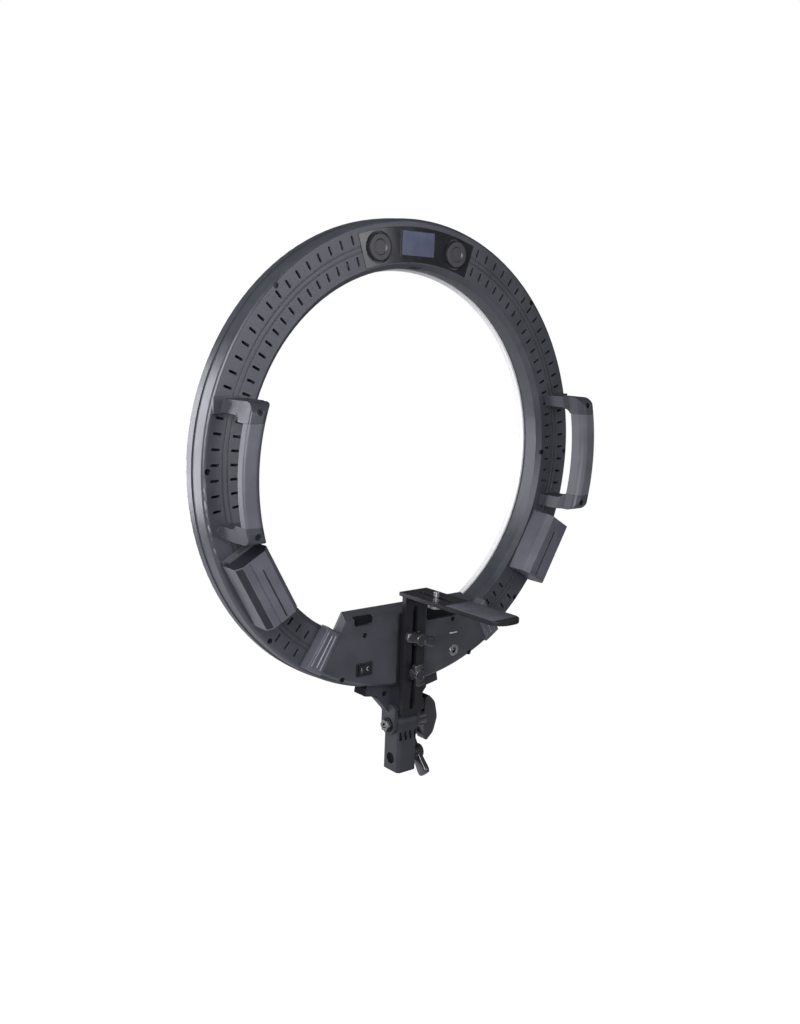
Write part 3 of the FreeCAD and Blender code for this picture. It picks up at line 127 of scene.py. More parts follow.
def pale_floor_material():
    material = bpy.data.materials.new("pale_floor")
    material.use_nodes = True
    tree = material.node_tree
    paint = tree.nodes["Principled BSDF"]
    paint.inputs["Base Color"].default_value = FLOOR_PAINT
    paint.inputs["Roughness"].default_value = FLOOR_ROUGHNESS
    glow = tree.nodes.new("ShaderNodeEmission")
    glow.inputs["Strength"].default_value = FLOOR_WHITE
    ray = tree.nodes.new("ShaderNodeLightPath")
    share = tree.nodes.new("ShaderNodeMath")
    share.operation = "MULTIPLY"
    share.inputs[1].default_value = FLOOR_WHITE_SHARE
    mix = tree.nodes.new("ShaderNodeMixShader")
    tree.links.new(ray.outputs["Is Camera Ray"], share.inputs[0])
    tree.links.new(share.outputs[0], mix.inputs["Fac"])
    tree.links.new(paint.outputs[0], mix.inputs[1])
    tree.links.new(glow.outputs[0], mix.inputs[2])
    tree.links.new(mix.outputs[0], tree.nodes["Material Output"].inputs["Surface"])
    return material


bpy.ops.mesh.primitive_plane_add(size=FLOOR_SIZE, location=(0, 0, FLOOR_LEVEL))
floor = bpy.context.object
floor.name = "floor"
floor.data.materials.append(pale_floor_material())
print("floor at", FLOOR_LEVEL, "m")

# %% [markdown]
# The surround is white for the camera and much dimmer for the object. A bright room would wash the black
# plastic out, because its mirror image of the room is nearly all that one sees of it. The dim fill still
# keeps the far sides readable.

# %% Surround
SURROUND_GLOW = 0.125
SURROUND_SHOWN = 1.0

world = bpy.data.worlds.new("studio")
bpy.context.scene.world = world
world.use_nodes = True
world_tree = world.node_tree
sky = world_tree.nodes["Background"]
sky.inputs["Color"].default_value = (1, 1, 1, 1)
ray = world_tree.nodes.new("ShaderNodeLightPath")
shown = world_tree.nodes.new("ShaderNodeMapRange")
shown.inputs["To Min"].default_value = SURROUND_GLOW
shown.inputs["To Max"].default_value = SURROUND_SHOWN
world_tree.links.new(ray.outputs["Is Camera Ray"], shown.inputs["Value"])
world_tree.links.new(shown.outputs[0], sky.inputs["Strength"])
bpy.context.scene.view_settings.view_transform = "Standard"
print("surround glows at", SURROUND_GLOW, "for the object")

# %% [markdown]
# Black plastic is hard to light: its shape shows mostly as reflections of the lamps. A tall panel in front
# of the ring and to its left gives the long highlight down its outer wall. A key behind it, also to the left,
# makes the left half brighter than the right. A weak panel puts a sheen on the back, and the last one is
# mirrored in the glossy control panel.

# %% Lamps
LAMP_COLOUR = (0.93, 0.93, 1.0)


def soft_panel(name, location, target, width, height, watts):
    bpy.ops.object.light_add(type="AREA", location=location)
    lamp = bpy.context.object
    lamp.name = name
    lamp.data.shape = "RECTANGLE"
    lamp.data.size = width
    lamp.data.size_y = height
    lamp.data.energy = watts
    lamp.data.color = LAMP_COLOUR
    aim = (Vector(target) - Vector(location)).to_track_quat("-Z", "Y")
    lamp.rotation_euler = aim.to_euler()


soft_panel("rim_panel", (0.95, -1.6, 0.35), target=RING_CENTRE, width=0.7, height=1.3, watts=22)
soft_panel("key_panel", (1.0, 0.6, 0.7), target=(0.2, 0, 0.32), width=0.7, height=0.9, watts=24)
soft_panel("sheen_panel", (-0.35, 1.5, 0.5), target=(0.2, 0, 0.35), width=0.6, height=0.9, watts=6)
soft_panel("gloss_panel", (-0.92, 1.5, 0.7), target=(0.08, 0, 0.54), width=0.36, height=0.5, watts=2.5)

# %% [markdown]
# Moulded plastic is never one flat tone. Every material starts from the same shader, and its patterns are
# clouds of noise that are read from Object coordinates, so they keep their real scale on every piece and
# don't slide when the piece moves.

# %% Start of a material
def start_material(name, colour, roughness, metallic=0.0):
    material = bpy.data.materials.new(name)
    material.use_nodes = True
    tree = material.node_tree
    shader = tree.nodes["Principled BSDF"]
    shader.inputs["Base Color"].default_value = (*colour, 1)
    shader.inputs["Roughness"].default_value = roughness
    shader.inputs["Metallic"].default_value = metallic
    place = tree.nodes.new("ShaderNodeTexCoord")
    return material, tree, shader, place


def noise(tree, place, scale, detail=3.0, stretch=(1, 1, 1)):
    """A cloud with this many patches per metre, squeezed along the axes that stretch names."""
    mapping = tree.nodes.new("ShaderNodeMapping")
    mapping.inputs["Scale"].default_value = stretch
    tree.links.new(place.outputs["Object"], mapping.inputs["Vector"])
    cloud = tree.nodes.new("ShaderNodeTexNoise")
    cloud.inputs["Scale"].default_value = scale
    cloud.inputs["Detail"].default_value = detail
    tree.links.new(mapping.outputs[0], cloud.inputs["Vector"])
    return cloud


print("material starter ready")

# %% [markdown]
# Handling polishes plastic in patches, and pigment settles unevenly. A colour ramp makes the base colour
# drift a little, and a remapped cloud does the same for the gloss. Both are weak, because the eye should
# read one material and not a pattern.

# %% Drifting colour and gloss
RAMP_ENDS = (0.35, 0.65)
GLOSS_ENDS = (0.3, 0.7)


def vary_colour(tree, shader, cloud, colour, dark, light):
    ramp = tree.nodes.new("ShaderNodeValToRGB")
    for stop, position, factor in zip(ramp.color_ramp.elements, RAMP_ENDS, (dark, light)):
        stop.position = position
        stop.color = (*[min(1, channel * factor) for channel in colour], 1)
    tree.links.new(cloud.outputs["Fac"], ramp.inputs["Fac"])
    tree.links.new(ramp.outputs["Color"], shader.inputs["Base Color"])


def vary_roughness(tree, shader, cloud, low, high):
    gloss = tree.nodes.new("ShaderNodeMapRange")
    gloss.inputs["From Min"].default_value = GLOSS_ENDS[0]
    gloss.inputs["From Max"].default_value = GLOSS_ENDS[1]
    gloss.inputs["To Min"].default_value = low
    gloss.inputs["To Max"].default_value = high
    tree.links.new(cloud.outputs["Fac"], gloss.inputs["Value"])
    tree.links.new(gloss.outputs[0], shader.inputs["Roughness"])


print("colour ramps between", RAMP_ENDS)

# %% [markdown]
# The real housing has a fine spark-eroded grain that breaks up the highlight. Here it is a bump, since it is
# only hundredths of a millimetre deep. A Bevel node below it softens the shading along moulded edges that
# are sharp in the mesh.

# %% Grain
SOFT_EDGE = 0.5 * MM
SOFT_EDGE_SAMPLES = 4


def grain(tree, shader, cloud, strength, depth):
    bump = tree.nodes.new("ShaderNodeBump")
    bump.inputs["Strength"].default_value = strength
    bump.inputs["Distance"].default_value = depth
    soft_edge = tree.nodes.new("ShaderNodeBevel")
    soft_edge.samples = SOFT_EDGE_SAMPLES
    soft_edge.inputs["Radius"].default_value = SOFT_EDGE
    tree.links.new(cloud.outputs["Fac"], bump.inputs["Height"])
    tree.links.new(soft_edge.outputs[0], bump.inputs["Normal"])
    tree.links.new(bump.outputs[0], shader.inputs["Normal"])


print("edges are shaded as if rounded by", SOFT_EDGE / MM, "mm")

# %% [markdown]
# The record gives each slot a base colour. How deep a black looks also depends on the room, so each black
# gets a factor that was matched in this studio, and a slight cool tint like that of carbon-filled
# plastic. Slots that aren't named here keep the record's colour.

# %% Depth of the blacks
# deep_black and grip_rubber are set far lighter than the record: that is a painted sheen on the end collars
# and the grips.
DEPTH_OF_TONE = {
    "satin_black": 0.85, "gloss_black": 0.6, "deep_black": 3.2, "knob_black": 0.7, "grip_rubber": 1.75,
    "pack_black": 2.05, "bracket_black": 0.3,
}
COOL_TINT = (1.0, 1.0, 1.09)


def toned(slot):
    if slot not in DEPTH_OF_TONE:
        return colour_of_slot[slot]
    return [DEPTH_OF_TONE[slot] * channel * tint for channel, tint in zip(colour_of_slot[slot], COOL_TINT)]


print("blacks with a depth of their own:", len(DEPTH_OF_TONE))

# %% [markdown]
# The housing is satin plastic, the knobs are glossier, the packs and the grips are duller, and the control
# panel is nearly a mirror. One function makes them all: broad clouds move the colour and the gloss, and a
# finer noise is the grain. Its size is given in metres.

# %% Moulded plastics and rubber
CLOUDS_PER_METRE = 35
GLOSSIER_BY, DULLER_BY = 0.04, 0.05
GRAIN_DEPTH = 0.2 * MM


def moulded(slot, roughness, grain_size, strength, cloudiness=0.12, sheen=0.5, depth=1.0, label=None):
    colour = [depth * channel for channel in toned(slot)]
    material, tree, shader, place = start_material(label or slot, colour, roughness)
    shader.inputs["Specular IOR Level"].default_value = sheen
    clouds = noise(tree, place, CLOUDS_PER_METRE)
    vary_colour(tree, shader, clouds, colour, 1 - cloudiness, 1 + cloudiness)
    vary_roughness(tree, shader, clouds, roughness - GLOSSIER_BY, roughness + DULLER_BY)
    grain(tree, shader, noise(tree, place, 1 / grain_size, detail=2.0), strength, GRAIN_DEPTH)
    return material


# The numbers are the roughness, then the size and the strength of the grain.
finishes = {
    "satin_black": moulded("satin_black", 0.34, 0.9 * MM, 0.28),
    "deep_black": moulded("deep_black", 0.32, 0.8 * MM, 0.18),
    "knob_black": moulded("knob_black", 0.24, 0.7 * MM, 0.12, sheen=0.9),
    "pack_black": moulded("pack_black", 0.36, 0.8 * MM, 0.25),
    "grip_rubber": moulded("grip_rubber", 0.50, 1.1 * MM, 0.45),
    "gloss_black": moulded("gloss_black", 0.10, 4.0 * MM, 0.03, cloudiness=0.05),
    "circuit_green": moulded("circuit_green", 0.35, 2.0 * MM, 0.20, cloudiness=0.20),
    "circuit_white": moulded("circuit_white", 0.35, 2.0 * MM, 0.10, cloudiness=0.05),
    "lamp_yellow": moulded("lamp_yellow", 0.30, 1.0 * MM, 0.10, cloudiness=0.05),
}
print("plastics:", sorted(finishes))

# %% [markdown]
# Pieces that share a slot of the record don't always share a gloss. The hinge is duller than the housing, the
# handles lie between the two, and the dials are softer than the knobs. Narrow recesses return almost no
# light, so painted shade gives them the darkest and most matt plastic, and a milder painted shade goes on
# faces in shadow. The ridges of the collars are the shiniest, and their lighter colour is a painted
# highlight.

# %% Variants of the plastics
# This one is also painted shade on the cover's slanted ends.
hinge_black = moulded("satin_black", 0.40, 0.9 * MM, 0.20, sheen=0.25, depth=0.75, label="hinge_black")
# Painted shade: the darkest plastic, for deep recesses and faces that get little light.
painted_shade_black = moulded("satin_black", 0.70, 0.9 * MM, 0.20, sheen=0.05, depth=0.22, label="painted_shade_black")
handle_black = moulded("satin_black", 0.38, 0.9 * MM, 0.22, sheen=0.4, depth=0.95, label="handle_black")
# Painted shade, milder, for faces in shadow and holes that read as dark.
shadow_black = moulded("satin_black", 0.50, 0.9 * MM, 0.20, sheen=0.15, depth=0.5, label="shadow_black")
dial_black = moulded("knob_black", 0.38, 0.9 * MM, 0.15, sheen=0.5, depth=1.5, label="dial_black")
# Painted highlight: a lighter colour that makes the collar ridges look lit.
ridge_painted_highlight = moulded("deep_black", 0.25, 0.9 * MM, 0.05, sheen=0.7, depth=1.5, label="ridge_painted_highlight")
variants = (hinge_black, painted_shade_black, handle_black, shadow_black, dial_black, ridge_painted_highlight)
print("variants:", [material.name for material in variants])

# %% [markdown]
# Metal reflects far more than plastic. Powder coat has a gentle orange peel. Turned steel has fine streaks,
# and brass is the same with a warmer colour. The streaks come from noise that is squeezed along two
# directions, so that it runs long in the third.

# %% Metals
COAT_SHEEN = 0.3
PEEL_PER_METRE = 700
STREAKS_PER_METRE = 300
STREAKS = (1, 8, 8)


def powder_coat(slot):
    material, tree, shader, place = start_material(slot, toned(slot), roughness=0.42)
    shader.inputs["Specular IOR Level"].default_value = COAT_SHEEN
    vary_roughness(tree, shader, noise(tree, place, scale=60), low=0.36, high=0.48)
    peel = noise(tree, place, PEEL_PER_METRE, detail=2.0)
    grain(tree, shader, peel, strength=0.25, depth=GRAIN_DEPTH)
    return material


def turned_metal(slot, roughness, depth=1.0, label=None):
    colour = [depth * channel for channel in colour_of_slot[slot]]
    material, tree, shader, place = start_material(label or slot, colour, roughness, metallic=1.0)
    streaks = noise(tree, place, STREAKS_PER_METRE, detail=4.0, stretch=STREAKS)
    vary_roughness(tree, shader, streaks, low=roughness - 0.08, high=roughness + 0.1)
    grain(tree, shader, streaks, strength=0.05, depth=GRAIN_DEPTH / 2)
    return material


finishes["bracket_black"] = powder_coat("bracket_black")
finishes["steel"] = turned_metal("steel", 0.28)
finishes["black_steel"] = turned_metal("black_steel", 0.35)
finishes["brass"] = turned_metal("brass", 0.3)
finishes["spreader_metal"] = turned_metal("spreader_metal", 0.4)
bolt_steel = turned_metal("steel", 0.30, depth=0.4, label="bolt_steel")
print("metals added:", len(finishes), "finishes")

# %% [markdown]
# The diffuser is opal acrylic: light enters it and scatters, so its edge looks soft and bright even when the
# lamps are off. Subsurface scattering with a small radius gives that.

# %% Diffuser
WHITE_DEPTH = 0.78
SCATTER_SHARE = 0.35
SCATTER_RADIUS = (4 * MM, 4 * MM, 4 * MM)


def opal_acrylic(slot):
    colour = [WHITE_DEPTH * channel for channel in colour_of_slot[slot]]
    material, tree, shader, place = start_material(slot, colour, roughness=0.38)
    shader.inputs["Subsurface Weight"].default_value = SCATTER_SHARE
    shader.inputs["Subsurface Radius"].default_value = SCATTER_RADIUS
    vary_roughness(tree, shader, noise(tree, place, scale=50), low=0.34, high=0.44)
    fine_noise = noise(tree, place, scale=900, detail=2.0)
    grain(tree, shader, fine_noise, strength=0.08, depth=GRAIN_DEPTH / 2)
    return material


finishes["diffuser_white"] = opal_acrylic("diffuser_white")
print("diffuser scatters light over", SCATTER_RADIUS[0] / MM, "mm")

# %% [markdown]
# The display is off. It is a dark slate blue film under a clear cover, so it is cloudy blue below with a
# clear coat on top, and broad clouds keep it from being one flat colour.

# %% Display film
CLEAR_COAT = 0.6
CLEAR_COAT_ROUGHNESS = 0.05


def display_film(slot):
    colour = colour_of_slot[slot]
    material, tree, shader, place = start_material(slot, colour, roughness=0.16)
    shader.inputs["Coat Weight"].default_value = CLEAR_COAT
    shader.inputs["Coat Roughness"].default_value = CLEAR_COAT_ROUGHNESS
    vary_colour(tree, shader, noise(tree, place, scale=28), colour, dark=0.85, light=1.12)
    vary_roughness(tree, shader, noise(tree, place, scale=90), low=0.12, high=0.2)
    return material


finishes["display_glass"] = display_film("display_glass")
print("slots without a finish:", sorted(set(colour_of_slot) - set(finishes)))

# %% [markdown]
# Each CAD node already has a place for its material, and the record says which slot that is. The nodes keep
# their meshes and only get their finish. The hinge's bolt is duller than other steel, and the accessory
# inserts sit so deep that they read as dark holes, so they get painted shade.

# %% Finishes on the CAD nodes
for node, piece in nodes.items():
    for holder in piece.material_slots:
        holder.material = finishes[slot_of_node[node]]
# The accessory inserts get painted shade, the shadow_black plastic, in place of their steel.
for node, finish in (("tilt_bolt", bolt_steel), ("accessory_insert_outer", shadow_black),
                     ("accessory_insert_inner", shadow_black)):
    nodes[node].material_slots[0].material = finish
print("nodes with a finish:", len(nodes))

# %% [markdown]
# Some blocky pieces are remade from their CAD nodes. A CAD mesh is loose triangles, so the copy's doubled
# points are merged first. Then its flat faces are joined into clean ones, because a bevel needs real edges
# and no diagonals across a flat side.

# %% Copies of CAD nodes
MERGE_WITHIN = 0.01 * MM
FLAT_WITHIN = math.radians(0.5)


def copy_of(node, name):
    """An object with its own mesh, shaped like a CAD node, that stands in for it."""
    mesh = nodes[node].data.copy()
    mesh.name = name
    piece = bpy.data.objects.new(name, mesh)
    bpy.context.scene.collection.objects.link(piece)
    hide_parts(node)
    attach(piece, body_of_node[node])
    return piece


def clean_faces(piece):
    work_on(piece)
    bpy.ops.object.mode_set(mode="EDIT")
    bpy.ops.mesh.select_all(action="SELECT")
    bpy.ops.mesh.remove_doubles(threshold=MERGE_WITHIN)
    bpy.ops.mesh.dissolve_limited(angle_limit=FLAT_WITHIN)
    bpy.ops.mesh.normals_make_consistent(inside=False)
    bpy.ops.object.mode_set(mode="OBJECT")


print("copies merge points closer than", MERGE_WITHIN / MM, "mm")

# %% [markdown]
# Real mouldings and folded metal have rounded edges, and those edges are what catches the light. A bevel
# modifier is asked for the radius that such a piece would have. It never goes further than the shortest edge
# nearby allows, so only the collars, the camera bracket and the switch frame come out measurably rounded, and
# the others stay nearly sharp in the mesh. Weighted normals then keep the large faces flat.

# %% Bevelled copies of the blocky pieces
SHARP_EDGE = math.radians(32)
SMOOTH_BELOW = math.radians(40)
EDGE_RADIUS_MM = {
    "camera_bracket": 0.7, "handle_left": 1.2, "handle_right": 1.2, "battery_left": 0.9, "battery_right": 0.9,
    "end_collar_left": 0.5, "end_collar_right": 0.5, "stand_receiver": 0.6, "tilt_bracket": 0.7,
    "power_rocker": 0.35, "switch_frame": 0.3, "tilt_knob": 1.6, "driver_box": 0.8,
}


def round_edges(piece, radius):
    work_on(piece)
    bevel = piece.modifiers.new("rounding", "BEVEL")
    bevel.width = radius
    bevel.segments = 3
    bevel.limit_method = "ANGLE"
    bevel.angle_limit = SHARP_EDGE
    bpy.ops.object.modifier_apply(modifier="rounding")
    bpy.ops.object.shade_smooth_by_angle(angle=SMOOTH_BELOW)
    flat_faces = piece.modifiers.new("flat faces", "WEIGHTED_NORMAL")
    flat_faces.keep_sharp = True
    bpy.ops.object.modifier_apply(modifier="flat faces")
    clear_selection()


rounded = {}
for node, radius in EDGE_RADIUS_MM.items():
    piece = copy_of(node, node + "_moulded")
    clean_faces(piece)
    round_edges(piece, radius * MM)
    rounded[node] = piece
    print(node, "bevelled,", radius, "mm at most:", len(piece.data.polygons), "faces")

# %% [markdown]
# The hinge and the handles are duller than the housing, so they get their own plastic as a whole. A part of
# a moulding can get painted shade of its own as well, such as the inside of a slot. Its faces are found by
# where they lie or which way they look, and they get a darker material on the same mesh.

# %% Finishes for whole pieces and painted shade for parts of them
DULLER_PIECES = {"tilt_bracket": hinge_black, "stand_receiver": hinge_black,
                 "handle_left": handle_black, "handle_right": handle_black}


def paint_shade(piece, finish, test):
    """Gives the faces that pass the test a painted shade, as a material of their own."""
    piece.data.materials.append(finish)
    index = len(piece.data.materials) - 1
    chosen = [face for face in piece.data.polygons if test(face)]
    for face in chosen:
        face.material_index = index
    print(piece.name, "has", len(chosen), "faces in", finish.name)


for node, finish in DULLER_PIECES.items():
    rounded[node].material_slots[0].material = finish
print("in a duller plastic:", sorted(DULLER_PIECES))

# %% [markdown]
# The receiver has a round hole in its left side and four rib slots high on its rear face. They are deep and
# narrow, so almost no light comes back out of them. Their inner faces get painted shade, the darkest plastic,
# which keeps them readable from any side.

# %% Recesses of the receiver
HOLE_MOUTH = Vector((12.7, 0, 13.5)) * MM
HOLE_RADIUS = 6.1 * MM
HOLE_DEPTH = 2.5 * MM
RIB_CENTRES = [6.6 * MM * step for step in (-1.5, -0.5, 0.5, 1.5)]
RIB_HALF_WIDTH = 1.4 * MM
RIB_LOW, RIB_HIGH = 35.8 * MM, 45.2 * MM
RECEIVER_REAR = 13.0 * MM
RIB_DEPTH = 2.2 * MM
SKIN = 0.05 * MM


def inside_cross_hole(spot):
    across = math.hypot(spot.y - HOLE_MOUTH.y, spot.z - HOLE_MOUTH.z)
    return across < HOLE_RADIUS and HOLE_MOUTH.x - HOLE_DEPTH < spot.x < HOLE_MOUTH.x - SKIN


def inside_rib_slot(spot):
    below_face = RECEIVER_REAR - RIB_DEPTH < spot.y < RECEIVER_REAR - SKIN
    in_slot = any(abs(spot.x - centre) < RIB_HALF_WIDTH for centre in RIB_CENTRES)
    return below_face and in_slot and RIB_LOW < spot.z < RIB_HIGH


# Painted shade inside the cross hole and the rib slots.
paint_shade(rounded["stand_receiver"], painted_shade_black,
        lambda face: inside_cross_hole(face.center) or inside_rib_slot(face.center))

# %% [markdown]
# The cover of the power section has two finger scoops in its sloped upper edge, and they lie in shadow. The
# slanted ends of the cover and the outer side faces of the bracket's feet get little light as well. So
# painted
# shade darkens them: the scoops and feet get the darkest plastic, and the cover's ends get the hinge's
# darker, duller one.

# %% Scoops, cover ends and feet
SCOOPS = ((50.8 * MM, 74.2 * MM, 168.8 * MM), (-66.2 * MM, -21.8 * MM, 161.8 * MM))
COVER_FACE = 9.3 * MM
SCOOP_DEPTH = 4.2 * MM
COVER_END = 96 * MM
FOOT_END = 24 * MM
FACING = 0.8
SLANTED_FACING = 0.7


def inside_scoop(spot):
    if not COVER_FACE - SCOOP_DEPTH <= spot.y <= COVER_FACE - SKIN:
        return False
    return any(low < spot.x < high and spot.z > bottom for low, high, bottom in SCOOPS)


# Painted shade in the scoops, on the feet's outer sides and on the cover's slanted ends.
paint_shade(rounded["driver_box"], painted_shade_black,
        lambda face: inside_scoop(face.center) and face.normal.z < FACING)
paint_shade(rounded["tilt_bracket"], painted_shade_black,
        lambda face: abs(face.normal.x) > FACING and abs(face.center.x) > FOOT_END)
paint_shade(rounded["driver_box"], hinge_black,
        lambda face: abs(face.center.x) > COVER_END and abs(face.normal.x) > SLANTED_FACING)

# %% [markdown]
# New pieces start as a box or a cylinder of the right size and are shaped in edit mode. Two helpers select
# points or faces by a test, because a script can't click. The others make the starting shapes and round
# their corners.

# %% Helpers that shape a piece
CLOSE = 0.01 * MM


def select_where(piece, test):
    """Enters edit mode with the points selected that pass the test, and what lies between them."""
    work_on(piece)
    bpy.ops.object.mode_set(mode="EDIT")
    bpy.ops.mesh.select_mode(type="VERT")
    bpy.ops.mesh.select_all(action="DESELECT")
    bpy.ops.object.mode_set(mode="OBJECT")
    for point in piece.data.vertices:
        point.select = test(point.co)
    bpy.ops.object.mode_set(mode="EDIT")


def select_faces_where(piece, test):
    """Enters edit mode with the faces selected that pass the test."""
    work_on(piece)
    bpy.ops.object.mode_set(mode="EDIT")
    bpy.ops.mesh.select_mode(type="FACE")
    bpy.ops.mesh.select_all(action="DESELECT")
    bpy.ops.object.mode_set(mode="OBJECT")
    for face in piece.data.polygons:
        face.select = test(face)
    bpy.ops.object.mode_set(mode="EDIT")


def leave_edit():
    bpy.ops.object.mode_set(mode="OBJECT")
    clear_selection()


def box_piece(name, size, centre):
    bpy.ops.mesh.primitive_cube_add(size=1, location=centre)
    piece = bpy.context.object
    piece.name = name
    piece.scale = size
    bpy.ops.object.transform_apply(location=True, rotation=True, scale=True)
    return piece


def rod_piece(name, radius, low, high, sides=48):
    """A cylinder along Z between two levels."""
    bpy.ops.mesh.primitive_cylinder_add(
        vertices=sides, radius=radius, depth=high - low, location=(0, 0, (low + high) / 2))
    piece = bpy.context.object
    piece.name = name
    bpy.ops.object.transform_apply(location=True, rotation=True, scale=True)
    return piece


def bevel_corners(piece, radius, segments=2):
    work_on(piece)
    bevel = piece.modifiers.new("corners", "BEVEL")
    bevel.width = radius
    bevel.segments = segments
    bpy.ops.object.modifier_apply(modifier="corners")
    clear_selection()


print("shaping helpers ready")

# %% [markdown]
# A finished piece is one mesh in its final place, with its object at the origin, since that is how the CAD
# nodes are and how the patterns stay put. It also rides on a body, so that it moves with its joint.

# %% Helpers that finish a piece
def join(pieces, name):
    clear_selection()
    for piece in pieces:
        piece.select_set(True)
    bpy.context.view_layer.objects.active = pieces[0]
    bpy.ops.object.join()
    pieces[0].name = name
    pieces[0].data.name = name
    clear_selection()
    return pieces[0]


def settle(piece, place):
    """Moves a finished piece from its own axes to its place and leaves the object at the origin."""
    work_on(piece)
    piece.matrix_world = place @ piece.matrix_world
    bpy.ops.object.transform_apply(location=True, rotation=True, scale=True)
    clear_selection()


def dress(piece, finish, body, smooth_below=SMOOTH_BELOW):
    """Gives a piece its finish, smooth shading and the body that it moves with."""
    piece.data.materials.clear()
    piece.data.materials.append(finish)
    work_on(piece)
    bpy.ops.object.shade_smooth_by_angle(angle=smooth_below)
    clear_selection()
    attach(piece, body)


print("finishing helpers ready")

# %% [markdown]
# A clamp knob is a moulded hub with two wings. The wing blank is a box that is sliced across its length. Its
# middle is pinched to a waist, its ends are tapered, and subdivision turns it into the pillowy form that
# fingers expect.

# %% Wing of a knob
WING_SLICES = (-0.42, -0.2, 0.2, 0.42)
WAIST_WITHIN, WAIST_SCALE = 0.3, (1, 0.78, 0.82)
TIP_BEYOND, TIP_SCALE = 0.45, (1, 0.72, 0.8)
WING_EDGE = 1.1 * MM
WING_SHARP = math.radians(50)


def wing_blade(name, span, width, low, high):
    """A wing with a pinched waist and tapered ends, lying along X."""
    middle = (0, 0, (low + high) / 2)
    blade = box_piece(name, (span, width, high - low), middle)
    bpy.ops.object.mode_set(mode="EDIT")
    for share in WING_SLICES:
        bpy.ops.mesh.select_all(action="SELECT")
        bpy.ops.mesh.bisect(plane_co=(share * span, 0, 0), plane_no=(1, 0, 0))
    leave_edit()
    select_where(blade, lambda spot: abs(spot.x) < WAIST_WITHIN * span)
    bpy.ops.transform.resize(value=WAIST_SCALE, center_override=middle)
    leave_edit()
    select_where(blade, lambda spot: abs(spot.x) > TIP_BEYOND * span)
    bpy.ops.transform.resize(value=TIP_SCALE, center_override=middle)
    leave_edit()
    work_on(blade)
    bevel = blade.modifiers.new("rounding", "BEVEL")
    bevel.width = WING_EDGE
    bevel.segments = 1
    bevel.limit_method = "ANGLE"
    bevel.angle_limit = WING_SHARP
    bpy.ops.object.modifier_apply(modifier="rounding")
    smooth = blade.modifiers.new("smooth", "SUBSURF")
    smooth.levels = 2
    bpy.ops.object.modifier_apply(modifier="smooth")
    clear_selection()
    return blade


print("a wing is sliced at", WING_SLICES, "of its span")

# %% [markdown]
# The hub is a cylinder with a rounded rim and a recessed cap, and short ribs stiffen its neck. The knob is
# built along its own Z axis, with the wings at the free end, and then settled in its place on the object.

# %% Hub and ribs of a knob
HUB_RIM = 0.8 * MM
CAP_INSET, CAP_DEPTH = 1.2 * MM, 0.9 * MM
HUB_RIBS = 8
RIB_SIZE = (2.2 * MM, 1.2 * MM)
RIB_GAP = 0.6 * MM


def hub_with_cap(name, radius, low, high):
    """A hub whose free end has a rounded rim and a shallow recess."""
    hub = rod_piece(name, radius, low, high)
    select_where(hub, lambda spot: spot.z > high - MM)
    bpy.ops.mesh.bevel(offset=HUB_RIM, segments=3)
    leave_edit()
    select_where(hub, lambda spot: spot.z > high - CLOSE)
    bpy.ops.mesh.inset(thickness=CAP_INSET)
    bpy.ops.mesh.extrude_region_move(TRANSFORM_OT_translate={"value": (0, 0, -CAP_DEPTH)})
    leave_edit()
    return hub


def neck_ribs(radius, low, high):
    ribs = []
    for step in range(HUB_RIBS):
        rib = box_piece("rib", (*RIB_SIZE, high - low - RIB_GAP), (radius, 0, (low + high) / 2))
        settle(rib, Matrix.Rotation(step * math.tau / HUB_RIBS, 4, "Z"))
        ribs.append(rib)
    return ribs


def wing_knob(node, place, span, width, wing, hub_radius, hub):
    """A knob with its wings and its hub between the given levels of its own axis."""
    blade = wing_blade(node + "_blade", span, width, *wing)
    stem = hub_with_cap(node + "_hub", hub_radius, *hub)
    knob = join([blade, stem, *neck_ribs(hub_radius, hub[0], wing[0])], node + "_sculpted")
    settle(knob, place)
    dress(knob, finishes[slot_of_node[node]], body_of_node[node])
    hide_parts(node)
    print(knob.name, "faces:", len(knob.data.polygons))


print("a hub has", HUB_RIBS, "ribs")

# %% [markdown]
# Two of these knobs clamp the camera bracket on its studs. Their axis is along Y, so the knob's own axes are
# turned: Z becomes +Y, and the wings lie at the angle at which each knob was left. The upper one is the
# longer, and it lies almost level.

# %% Clamp knobs
CLAMP_KNOBS = (("clamp_knob_upper", 40 * MM, 17), ("clamp_knob_lower", 25 * MM, 80))
CLAMP_WING_WIDTH = 12 * MM
CLAMP_WING_THICKNESS = 8 * MM
CLAMP_HUB_RADIUS = 6.6 * MM
HUB_PROUD = 0.2 * MM


def place_of(origin, along, outward):
    """From a knob's own axes to the object's: X lies along the wings and Z points outwards."""
    axes = Matrix((along, outward.cross(along), outward)).transposed()
    return Matrix.Translation(origin) @ axes.to_4x4()


for node, span, degrees in CLAMP_KNOBS:
    low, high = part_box(node)
    turn = math.radians(degrees)
    place = place_of(Vector((0, 0, (low[2] + high[2]) / 2)), Vector((math.cos(turn), 0, math.sin(turn))),
                     Vector((0, 1, 0)))
    wing_knob(node, place, span, CLAMP_WING_WIDTH,
              wing=(high[1] - CLAMP_WING_THICKNESS, high[1] - HUB_PROUD),
              hub_radius=CLAMP_HUB_RADIUS, hub=(low[1], high[1]))

# %% [markdown]
# The knob that locks the light on its stand is a larger one of the same family. It points to -X from the
# receiver's side, and its wings lie at a slant. They are a little shorter and broader than in the CAD model,
# and they stay inside its bounds.

# %% Lock knob
LOCK_HEIGHT = 13 * MM
LOCK_TURN = math.radians(130)
LOCK_SPAN = 54 * MM
LOCK_WIDTH = 16 * MM
LOCK_WING = (18.5 * MM, 26.5 * MM)
LOCK_HUB_RADIUS = 8 * MM
LOCK_HUB = (13 * MM, 28 * MM)

